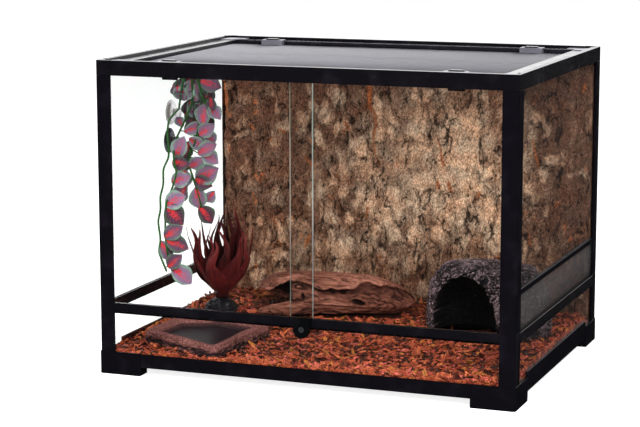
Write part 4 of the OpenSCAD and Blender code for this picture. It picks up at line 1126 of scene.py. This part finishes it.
def makeDish(s):
    # P(v, a): a profile v from under the rim, over it and down to the basin, round a soft five-sided outline R(a)
    low, high = np.array(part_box("water_dish")) / mm
    corner = low[:2] + dishRound + (high - low)[:2] * dishShares - 2 * dishRound * dishShares
    centre = corner.mean(axis=0)
    d = np.roll(corner, -1, axis=0) - corner
    normal = np.stack([d[:, 1], -d[:, 0]], axis=-1) / np.linalg.norm(d, axis=1)[:, None]
    reach = np.einsum("ij,ij->i", corner - centre, normal) + dishRound
    a = roundAngles(s["around"])
    ray = np.stack([np.cos(a), np.sin(a)], axis=-1)
    facing = np.maximum(ray @ normal.T, 0) / reach
    outline = (facing**22).sum(axis=1) ** (-1 / 22)
    height = high[2] - low[2]
    rim = s["rim"] / outline
    lean = 0.035  # how far the wall leans in at its top, as a share of the outline
    top, wallRows, rimRows = 1 - lean, 16, 12
    profile = [(1.0 + 0 * rim, 0.0)]
    for v in np.linspace(0.05, 1, wallRows):
        profile.append((1.0 - lean * v**2 + 0 * rim, v * (height - 2.5)))
    for v in np.linspace(0.06, 0.85, rimRows):
        profile.append((top - rim * v, height - 2.5 + 2.5 * math.sin(math.pi * min(1, v * 1.15)) ** 0.5))
    for v in np.linspace(0.08, 1, rimRows):
        fall = (height - 7.5) * (0.5 - 0.5 * math.cos(math.pi * v))
        profile.append((top - rim * (0.85 + 0.75 * v), height - 1.5 - fall))
    for v in (0.15, 0.35, 0.55, 0.75, 0.92):
        profile.append(((top - rim * 1.6) * (1 - v), 6.0))
    wallEnd = 1 + wallRows
    share = np.array([r for r, _ in profile])
    level = np.array([z for _, z in profile])[:, None] + 0 * a
    r = share * outline
    p = np.stack([centre[0] + r * ray[:, 0], centre[1] + r * ray[:, 1], level + low[2]], axis=-1)
    flat = p * (1, 1, 1.8)
    strata = fractalNoise(flat / (24, 24, 3.2), 4, 301)
    lump = fractalNoise(p / 22, 3, 311)
    crease = 1 - smoothStep(0.0, 0.12, np.abs(fractalNoise(flat / (16, 16, 7), 3, 321)))
    near, _, label = cellNoise(flat / 4.2 + 0.8 * fractalNoise(p / 6, 2, 331)[..., None], 341)
    pit = (1 - smoothStep(0.0, 0.5, near)) * smoothStep(-0.35, 0.2, fractalNoise(p / 13, 2, 351))
    crease = np.maximum(crease, pit)
    wall, topBand, basin, footShade = np.zeros((4, len(profile), 1))  # each row's share in four parts of the profile
    wall[1:wallEnd, 0] = np.sin(np.linspace(0.15, 1, wallRows) * np.pi * 0.75)
    wall[wallEnd : wallEnd + 7] = 0.3
    topBand[wallEnd - 3 : wallEnd + 19] = 1
    basin[wallEnd + 16 :, 0] = np.linspace(0.25, 1, len(profile) - wallEnd - 16) ** 0.4
    footShade[:wallEnd, 0] = 1 - smoothStep(0.30, 0.85, np.linspace(0, 1, wallEnd))  # 1 at the outer wall's foot: painted shade under the rim
    push = wall * (1.4 * strata - 2.0 * crease + 1.4 * lump - 1.6)
    p[..., 0] += push * ray[:, 0]
    p[..., 1] += push * ray[:, 1]
    p[..., 2] += topBand * (0.9 * lump + 0.35 * strata - 0.9)
    # painted shade on the outer wall toward its foot, under the rim
    shade = 0.92 - footShade * (0.55 + 0.75 * crease - 0.6 * strata) + 0.30 * lump + 0.5 * (label - 0.5) * footShade
    material, tree, shader, place = newMaterial("dishRock", {"Specular IOR Level": 0.06})
    grain = addGrain(tree, place, 420.0, 6.0, 2.2, at=(-900, 300))
    stone = addTone(tree, grain["Mask"], s["stone"], s["pale"], 0.35, 0.95, at=(-650, 200))
    deep = addTone(tree, addAttribute(tree, "shade"), s["dark"], stone, 0.1, 0.85, at=(-450, 100))
    wet = addAttribute(tree, "basin", at=(-1300, -600))
    colour = addTone(tree, wet, deep, s["basin"], 0.1, 0.9, at=(-250, 0))
    joinSurface(tree, shader, colour, (wet, 0.7, 0.4), (grain["Height"], 0.35, 0.0008))
    values = {"shade": np.append(np.clip(shade, 0, 1), [0.3, 0.8]), "basin": np.append(basin + 0 * shade, [0, 1])}
    faces = tubeFaces(len(profile), s["around"])
    piece = makePiece("dishBasin", withPoles(p) * mm, faces, [material], values=values)
    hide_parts("water_dish")


makeDish(rockSettings["dish"])
print("rocks shaped")


plantSettings = {
    "leaves": 25, "rows": 44, "around": 18, "seed": 11,
    "widths": [(0, 6.5), (0.12, 10.0), (0.28, 14.5), (0.40, 14.5), (0.52, 10.5), (0.64, 6.4), (0.75, 4.2),
               (0.86, 2.6), (0.95, 1.7), (1.0, 0.5)],
    "dark": (0.022, 0.0030, 0.0036), "flesh": (0.100, 0.0100, 0.0100),
    # the last two colours are painted highlights along the leaves' rims and toward their tips
    "edge": (0.240, 0.075, 0.075), "paintedTipHighlight": (0.200, 0.030, 0.030),
}


def makePlant(s):
    # each leaf: P(s, a) = spine(s) + B w(s) cos a + N (t(s) sin a + cup w(s) cos^2 a), its spine leaning out
    rng = np.random.default_rng(s["seed"])
    low, high = np.array(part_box("plant_leaves")) / mm
    centre, height = (low + high)[:2] / 2, high[2] - low[2]
    n = s["leaves"]
    i = np.arange(n)
    outward = np.sqrt((i + 0.5) / n)[:, None]
    azimuth = np.radians(i * 137.5)[:, None] + rng.normal(0, 0.16, (n, 1))
    t = np.linspace(0, 1, s["rows"])[None]
    tall = (height * (1.04 - 0.28 * outward**2) * rng.uniform(0.82, 1.06, (n, 1))).clip(max=height - 1)
    reach = 5 + 39 * outward
    curl = rng.uniform(-26, 18, (n, 1))
    radius = 2.0 + reach * np.sin(np.minimum(np.pi / 2, t * 2.3)) + 7 * outward * t**3
    radius = radius + curl * np.clip(t - 0.62, 0, 1) ** 1.5 * 2.6
    z = 3 + (tall - 3) * t**1.12
    phase = rng.uniform(0, 2 * np.pi, (n, 1))
    sway = 0.10 * np.sin(t * 7 + phase) * t + rng.normal(0, 0.22, (n, 1)) * t**2.2
    angle = azimuth + sway
    wag = 6.5 * np.sin(t * 8.5 + phase) * smoothStep(0.45, 1.0, t)  # the thin tips' own side bends, in millimetres
    spine = np.stack([centre[0] + radius * np.cos(angle) - wag * np.sin(azimuth),
                      centre[1] + radius * np.sin(angle) + wag * np.cos(azimuth), low[2] + z], axis=-1)
    spine[..., :2] = np.clip(spine[..., :2], low[:2] + 1, high[:2] - 1)
    tangent = unit(np.gradient(spine, axis=1))
    twist = rng.normal(0, 0.35, (n, 1)) + rng.normal(0, 0.5, (n, 1)) * t
    side = np.stack([-np.sin(angle + twist), np.cos(angle + twist), 0 * angle], axis=-1)
    side = unit(side - (side * tangent).sum(-1, keepdims=True) * tangent)
    normal = np.cross(side, tangent)
    a = roundAngles(s["around"])
    width = np.interp(t[0], *np.array(s["widths"]).T)[None, :, None] * rng.uniform(0.80, 1.12, (n, 1, 1))
    width = width * (0.74 + 0.26 * outward[..., None])
    across = np.cos(a)[None, None]
    wave = np.sin(t[..., None] * 21 + phase[..., None] + 2.4 * across) * np.abs(across)
    wave = wave * smoothStep(0.1, 0.35, t)[..., None] * 0.085 * width
    crease = np.exp(-((across / 0.16) ** 2))
    thick = (1.2 - 0.9 * t)[..., None] * np.sin(a)[None, None]
    offset = thick + wave - 0.5 * crease * (np.sin(a)[None, None] > 0) - 0.36 * width * across**2
    points = spine[:, :, None] + side[:, :, None] * (width * across)[..., None]
    points = points + normal[:, :, None] * offset[..., None]
    points[..., 2] = np.clip(points[..., 2], low[2] + 0.2, high[2])
    grid = withPoles(points)
    edge = np.abs(across) + 0 * width + 0 * t[..., None]
    # painted shade on the inner leaves and along the midrib, painted light on the outer leaves, the ripples' crests
    # and the tips, with some random tone
    tint = rng.uniform(-0.12, 0.12, (n, 1, 1)) + outward[..., None] ** 1.6 - 0.2 * crease + 0.25 * wave / width
    tint = np.clip(tint + 0.15 * smoothStep(0.5, 0.9, t)[..., None], 0, 1) + 0 * edge
    tip = t[..., None] + 0 * edge
    crown = [(centre[0], centre[1], low[2] + v) for v in (0.0, 4, 8, 12, 16)]  # the stump that the leaves grow from
    crown = withPoles(carryRing(np.array(crown), [10, 10.5, 9.5, 8.5, 6], 16))
    start = grid.shape[0] * grid.shape[1]
    faces = tubeFaces(s["rows"], s["around"], n) + [f + start for f in tubeFaces(5, 16)]
    material, tree, shader, place = newMaterial("burgundyLeaf", {"Coat Weight": 0.35, "Coat Roughness": 0.2})
    streaks = addGrain(tree, place, 210.0, 5.0, 1.6, stretch=(1, 1, 0.20), at=(-900, 300))
    flesh = addTone(tree, streaks["Mask"], s["dark"], s["flesh"], 0.05, 0.75, at=(-650, 200))
    patchy = addGrain(tree, place, 60.0, 3.0, 3.0, at=(-900, 600))
    # painted highlights here and there along the rims, then toward the tips
    brim = addMath(tree, "MULTIPLY", addAttribute(tree, "edge"), patchy["Mask"], at=(-650, 500))
    rim = addTone(tree, brim, flesh, s["edge"], 0.80, 0.99, at=(-450, 100))
    bright = addTone(tree, addAttribute(tree, "tip", at=(-1300, -900)), rim, s["paintedTipHighlight"], 0.80, 1.15, at=(-300, 0))
    lit = addAttribute(tree, "tint", at=(-1300, -700))
    lit = addTone(tree, lit, (0.12, 0.10, 0.11), (1.35, 1.25, 1.25), 0, 0.9, at=(-650, -200))
    joinSurface(tree, shader, multiply(tree, bright, lit), (streaks["Mask"], 0.48, 0.3),
                (streaks["Height"], 0.4, 0.0007))
    values = {"edge": (edge, 0), "tint": (tint, 0.3), "tip": (tip, 0)}  # and the crown's value
    values = {k: np.append(poleValues(v), np.full(len(crown), rest)) for k, (v, rest) in values.items()}
    points = np.concatenate([grid.reshape(-1, 3), crown]) * mm
    piece = makePiece("broadLeaves", points, faces, [material], values=values)
    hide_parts("plant_leaves")


makePlant(plantSettings)
print("broad-leaved plant grown")


vineSettings = {
    "seed": 23, "rows": 13, "around": 14,
    # each leaf's foot (off the left glass, across, up) and how far its tip is off the foot, sideways and up
    "leaves": [
        (28, 4, 373, -32, 10), (47, 6, 391, 32, -9), (63, 8, 367, 3, -22), (58, 8, 353, 24, -17),
        (53, 2, 325, 2, 34), (23, 0, 315, 28, 12), (44, 6, 311, 26, 16), (13, -8, 277, 15, 32),
        (29, 4, 305, 24, -12), (44, 2, 283, 29, 16), (50, 4, 285, 26, -14), (31, 0, 263, 24, 16),
        (8, -10, 271, 31, -1), (40, 4, 244, 34, 18), (39, 2, 246, 27, -10), (8, -14, 242, 31, 9),
        (42, 0, 234, 5, -33), (69, 4, 229, -15, -20), (30, -10, 244, -12, -34), (5, -30, 209, 31, 15),
        (8, -30, 208, 30, -25), (45, 2, 204, 21, -23), (9, -44, 164, 29, 17), (11, -44, 160, 34, -12),
        (5, -50, 159, 13, -30), (17, -50, 121, 26, 21), (20, -44, 120, 30, -24), (33, 10, 390, -13, -30),
        (39, 12, 387, 11, -26), (26, 12, 360, 16, -26), (49, 14, 393, 13, -26), (20, 10, 342, 18, -20),
        (19, 6, 322, -12, 14), (52, 10, 320, 13, -26), (19, 4, 259, 3, -30), (10, 6, 384, 11, -23),
        (33, 12, 392, 7, -33), (45, 14, 378, -14, -30), (36, 12, 364, 20, -26), (50, 12, 356, -22, -22),
        (29, 12, 352, 20, -18), (24, 14, 396, -14, -28), (58, 14, 396, -8, -28), (26, 12, 300, -10, -28),
        (33, 8, 276, -18, -24), (38, 16, 398, 2, -30), (42, 16, 384, -4, -32), (34, 16, 376, 4, -30),
        (46, 16, 366, 2, -30), (40, 16, 352, -6, -28), (31, 16, 344, 4, -28), (50, 16, 342, 6, -26),
        (38, 14, 330, -4, -28), (27, 14, 334, 6, -26), (45, 14, 318, 4, -26), (30, 17, 404, -4, -30),
        (54, 17, 404, 2, -30), (22, 17, 390, 4, -28), (54, 17, 384, -2, -30), (28, 17, 362, -6, -28),
        (48, 17, 352, 4, -28)],
    "strands": [
        [(15, 0, 349), (8, -20, 335), (7, -24, 320), (12, -30, 281), (5, -36, 264), (7, -40, 241), (3, -44, 223),
         (5, -46, 206),
         (2, -50, 188), (7, -52, 161), (5, -56, 144), (15, -50, 114)],
        [(15, 0, 349), (20, 2, 384), (28, 4, 412), (34, 4, 400), (36, 4, 361), (25, 0, 333), (13, -10, 303),
         (11, -14, 276), (20, -20, 257), (13, -26, 230),
         (6, -32, 210), (9, -40, 184), (11, -44, 161), (16, -48, 141), (21, -46, 120)],
        [(39, 6, 412), (43, 6, 392), (50, 6, 368), (58, 6, 350), (44, 6, 326), (39, 4, 299), (30, 2, 284),
         (29, 0, 269), (37, 0, 246),
         (43, 0, 228), (49, 2, 204)]],
    "widths": [(0, 0.05), (0.1, 0.16), (0.25, 0.27), (0.45, 0.35), (0.60, 0.36), (0.76, 0.285), (0.90, 0.14),
               (1, 0.012)],
    "red": (0.820, 0.034, 0.032), "pink": (0.860, 0.240, 0.300),
    "plum": (0.270, 0.170, 0.290), "deep": (0.060, 0.026, 0.050),
    "green": (0.270, 0.430, 0.320), "dimGreen": (0.060, 0.100, 0.060),
    "shaded": 21,  # how many of the last leaves at the back are painted dark, as painted shade
    "stem": (0.030, 0.150, 0.025),
}


def makeVine(s):
    # each leaf: P(s, a) = foot + D L s + S L w(s) cos a + N (bend L s^2 + fold L w |cos a| + t sin a)
    rng = np.random.default_rng(s["seed"])
    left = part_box("lower_glass_left")[1][0] / mm
    strands = [smoothCurve([(left + p[0], p[1], p[2]) for p in strand], 110, 6) for strand in s["strands"]]
    leaf = np.array(s["leaves"], float)
    n = len(leaf)
    feet = leaf[:, :3] + (left, 0, 0)
    length = np.hypot(leaf[:, 3], leaf[:, 4])
    d = np.stack([leaf[:, 3], rng.uniform(-0.3, 0.25, n) * length, leaf[:, 4]], axis=-1)
    d = unit(d)
    length = length[:, None, None]
    look = np.array([0.36, -0.90, 0.20]) + rng.normal(0, 0.24, (n, 3))
    normal = unit(look - (look * d).sum(-1, keepdims=True) * d)
    side = np.cross(normal, d)
    t = np.linspace(0, 1, s["rows"])[None, :, None]
    a = roundAngles(s["around"])[None, None]
    width = np.interp(t[0, :, 0], *np.array(s["widths"]).T)[None, :, None] * rng.uniform(1.00, 1.24, (n, 1, 1))
    across = np.cos(a)
    bend = rng.uniform(-0.22, -0.04, (n, 1, 1))
    ripple = 0.025 * np.sin(t * 12 + across * 2 + rng.uniform(0, 6, (n, 1, 1))) * np.abs(across)
    rise = length * (bend * t**2 + 0.42 * width * np.abs(across) + ripple) + 0.28 * np.sin(a)
    points = feet[:, None, None] + d[:, None, None] * (length * t)[..., None] * (1 + 0 * across[..., None])
    points = points + side[:, None, None] * (length * width * across)[..., None]
    points = points + normal[:, None, None] * rise[..., None]
    points[..., 0] = np.maximum(points[..., 0], left + 0.6)
    points[..., 2] = np.minimum(points[..., 2], frameHeight - 16.0)
    edge, along = np.abs(across) + 0 * rise, t + 0 * rise
    # the back leaves painted dark: painted shade
    dim = np.where(np.arange(n) < n - s["shaded"], 1.0, 0.22)[:, None, None]
    tint = rng.uniform(0, 1, (n, 1, 1)) * dim + 0 * rise
    material, tree, shader, place = newMaterial("vineLeaf")
    names = ("edge", "along", "tint")
    edgeAt, alongAt, tintAt = (addAttribute(tree, name, at=(-1700, -300 * k)) for k, name in enumerate(names))
    mottle = addGrain(tree, place, 380.0, 5.0, 2.2, at=(-1300, 500))
    # how far from the midrib, broken up by the mottle, and then also how far along; side veins: waves of both
    reach = addMath(tree, "MULTIPLY_ADD", mottle["Mask"], 0.42, edgeAt, at=(-1300, 200))
    farther = addMath(tree, "MULTIPLY_ADD", alongAt, 0.30, reach, at=(-1100, 200))
    vein = addMath(tree, "MULTIPLY_ADD", edgeAt, -0.45, alongAt, at=(-1300, -100))
    sine = addMath(tree, "SINE", addMath(tree, "MULTIPLY", vein, 44.0, at=(-1100, -100)), at=(-950, -100))
    # a low tint, random and on the back leaves' painted shade, gives the darker plum and green
    body = addTone(tree, tintAt, s["deep"], s["plum"], 0.0, 0.75, at=(-900, 300))
    veined = addTone(tree, sine, body, s["pink"], 0.72, 1.6, at=(-700, 200))
    heart = addTone(tree, farther, s["red"], veined, 0.40, 0.74, at=(-500, 200))
    sage = addTone(tree, tintAt, s["dimGreen"], s["green"], 0.0, 0.8, at=(-500, 500))
    rim = addTone(tree, reach, heart, sage, 0.78, 1.14, at=(-300, 200))
    joinSurface(tree, shader, rim, (mottle["Mask"], 0.6, 0.38), (sine, 0.25, 0.0004))
    values = {"edge": poleValues(edge), "along": poleValues(along), "tint": poleValues(tint)}
    faces = tubeFaces(s["rows"], s["around"], n)
    piece = makePiece("vineLeaves", withPoles(points).reshape(-1, 3) * mm, faces, [material], values=values)
    return strands, feet, d


def makeStems(s, strands, feet, d):
    # the strands, and a stalk from the nearest point of a strand to each leaf's foot
    onStrands = np.concatenate(strands)
    nearest = np.linalg.norm(feet[:, None] - onStrands[None], axis=-1).argmin(axis=1)
    tubes, faces, start = [], [], 0
    for strand in strands:
        tube = withPoles(carryRing(strand, 1.5, 8))
        tubes.append(tube)
        faces += [f + start for f in tubeFaces(len(strand), 8)]
        start += len(tube)
    stalks, stalkFaces = wires(onStrands[nearest] + (0.01, 0, 0), feet + d * 1.5, 0.8, 7)
    tubes.append(stalks)
    faces += [f + start for f in stalkFaces]
    stem, tree, shader, place = newMaterial("vineStem")
    grain = addGrain(tree, place, 500.0, 4.0, 2.0)
    colour = addTone(tree, grain["Mask"], tuple(0.5 * c for c in s["stem"]), s["stem"])
    joinSurface(tree, shader, colour, (grain["Mask"], 0.5, 0.32))
    piece = makePiece("vineStems", np.concatenate(tubes) * mm, faces, [stem])
    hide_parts("vine")


makeStems(vineSettings, *makeVine(vineSettings))
print("vine hung")


cupSettings = {
    "at": [(3, 0.78), (-4, 0.686)],  # across, and up as a share of the tank's height
    "around": 64,
    "profile": [(0.5, 0.0), (15.0, 0.5), (18.6, 0.1), (19.0, 0.5), (18.8, 1.1), (16.4, 2.6), (13.2, 4.4),
                (9.5, 5.2), (6.2, 5.9),
                (4.8, 6.8), (4.5, 8.0), (5.2, 8.4), (6.3, 9.0), (6.5, 10.0), (6.5, 14.2), (6.1, 15.2), (5.0, 15.8),
                (2.6, 16.0)],
    "tints": [((0.95, 0.96, 0.98), 1.18), ((0.16, 0.17, 0.20), 1.40)],  # colour and index of refraction
}


def makeCups(s):  # P(v, a) = off the glass z(v), round it r(v)(cos a, sin a)
    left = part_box("lower_glass_left")[1][0] / mm
    profile = smoothCurve(s["profile"], 60, 1)
    a = roundAngles(s["around"])
    for k, ((y, share), (tint, bend)) in enumerate(zip(s["at"], s["tints"])):
        r, off = profile[:, :1], profile[:, 1:] + 0 * a
        rib = 1 + 0.012 * np.cos(a * 12) * (r > 7) * (r < 17)
        grid = np.stack([left + off * rib, y + r * np.cos(a), share * frameHeight + r * np.sin(a)], axis=-1)
        sockets = {"Base Color": tint, "Transmission Weight": 0.85, "IOR": bend}
        material, tree, shader, place = newMaterial(f"cupVinyl{k}", sockets)
        haze = addGrain(tree, place, 160.0, 4.0, 1.6)
        joinSurface(tree, shader, rough=(haze["Mask"], 0.06, 0.22))
        piece = makePiece(f"suctionCup{k}", withPoles(grid) * mm, tubeFaces(len(profile), s["around"]), [material])
        if k == 0:
            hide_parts("suction_cups")


makeCups(cupSettings)
print("cups fixed")


lightSettings = {
    "ambient": 0.42,
    "frontGloss": 0.02,
    "rearGloss": 2.0,
    "rearFrom": {"Y": (-0.1, 0.5), "Z": (-0.02, 0.12)},  # where the bright rear fades in, by direction
    "floorGlow": 0.84,
    "floorReach": 6.0,  # metres
    "lamps": {
        "keyLamp": {"place": (1.5, -2.3, 1.7), "aim": (0.08, 0.1, 0.2), "size": 1.4, "power": 78},
        "fillLamp": {"place": (-1.9, -1.8, 1.3), "aim": (0.0, 0.0, 0.2), "size": 1.6, "power": 30},
        "topLamp": {"place": (0.1, -0.3, 2.2), "aim": (0.0, 0.05, 0.1), "size": 1.3, "power": 36},
    },
}


def makeLamp(name, s):
    data = bpy.data.lights.new(name, "AREA")
    data.size, data.energy = s["size"], s["power"]
    lamp = bpy.data.objects.new(name, data)
    bpy.context.scene.collection.objects.link(lamp)
    lamp.location = s["place"]
    lamp.rotation_euler = (Vector(s["aim"]) - Vector(s["place"])).to_track_quat("-Z", "Y").to_euler()
    lamp.visible_camera = lamp.visible_glossy = lamp.visible_transmission = False


def rayKinds(tree):
    # 1 for rays that show the background, straight or through glass, and 1 for rays that a gloss has turned
    path = addNode(tree, "ShaderNodeLightPath", (-1000, 500)).outputs
    turned = addMath(tree, "GREATER_THAN", path["Glossy Depth"], 0.5, at=(-800, 400))
    mirrored = addMath(tree, "SUBTRACT", turned, path["Is Diffuse Ray"], clamp=True, at=(-600, 400))
    straight = addMath(tree, "MAXIMUM", path["Is Camera Ray"], path["Is Transmission Ray"], at=(-800, 600))
    return addMath(tree, "SUBTRACT", straight, mirrored, clamp=True, at=(-400, 600)), mirrored


def makeWorld(s):
    # white to the camera and through glass; in reflections, bright behind the tank and above, dim in front
    world = bpy.data.worlds.new("studioWorld")
    world.use_nodes = True
    tree = world.node_tree
    tree.nodes.clear()
    seen, mirrored = rayKinds(tree)
    white, ambient, mirror = (
        addNode(tree, "ShaderNodeBackground", (300, 200 - 200 * k), {"Color": (1, 1, 1), "Strength": strength})
        for k, strength in enumerate((1.0, s["ambient"], 0.0)))
    split = addNode(tree, "ShaderNodeSeparateXYZ", (-500, -200))
    feed(tree, split.inputs[0], addNode(tree, "ShaderNodeTexCoord", (-700, -200)).outputs["Generated"])
    ramps = []
    for axis, (low, high) in s["rearFrom"].items():
        inputs = {"Value": split.outputs[axis], "From Min": low, "From Max": high}
        place = (-250, -250 * len(ramps))
        ramps.append(addNode(tree, "ShaderNodeMapRange", place, inputs, interpolation_type="SMOOTHSTEP").outputs[0])
    behind = addMath(tree, "MULTIPLY", addMath(tree, "MULTIPLY", *ramps), s["rearGloss"])
    feed(tree, mirror.inputs["Strength"], addMath(tree, "MAXIMUM", behind, s["frontGloss"]))
    around = mixShaders(tree, mirrored, ambient.outputs[0], mirror.outputs[0], (550, -100))
    whole = mixShaders(tree, seen, around, white.outputs[0], (720, 0))
    addNode(tree, "ShaderNodeOutputWorld", (900, 0), {"Surface": whole})
    world.cycles.sampling_method = "NONE"
    bpy.context.scene.world = world


def makeFloor(s):
    # a pale sheet under the tank: lit by the lamps, brightened for the camera so that only the shadow shows
    r = s["floorReach"]
    mesh = bpy.data.meshes.new("studioFloor")
    mesh.from_pydata([(-r, -r, 0), (r, -r, 0), (r, r, 0), (-r, r, 0)], [], [(0, 1, 2, 3)])
    floor = bpy.data.objects.new("studioFloor", mesh)
    bpy.context.scene.collection.objects.link(floor)
    sockets = {"Base Color": (0.9, 0.9, 0.9), "Roughness": 0.9, "Specular IOR Level": 0.0}
    material, tree, shader, _ = newMaterial("floorPaper", sockets)
    seen, mirrored = rayKinds(tree)
    glow = {"Color": (1, 1, 1), "Strength": addMath(tree, "MULTIPLY", seen, s["floorGlow"])}
    glow = addNode(tree, "ShaderNodeEmission", (0, 300), glow).outputs[0]
    dim = {"Color": (1, 1, 1), "Strength": s["frontGloss"]}
    dim = addNode(tree, "ShaderNodeEmission", (300, -200), dim).outputs[0]
    lit = addNode(tree, "ShaderNodeAddShader", (300, 100), {0: shader.outputs[0], 1: glow}).outputs[0]
    whole = mixShaders(tree, mirrored, lit, dim, (500, 100))
    feed(tree, tree.nodes["Material Output"].inputs["Surface"], whole)
    mesh.materials.append(material)


for name, settings in lightSettings["lamps"].items():
    makeLamp(name, settings)
makeWorld(lightSettings)
makeFloor(lightSettings)
bpy.context.scene.view_settings.view_transform = "Standard"
bpy.context.scene.cycles.transparent_max_bounces = 24
print("studio lit")
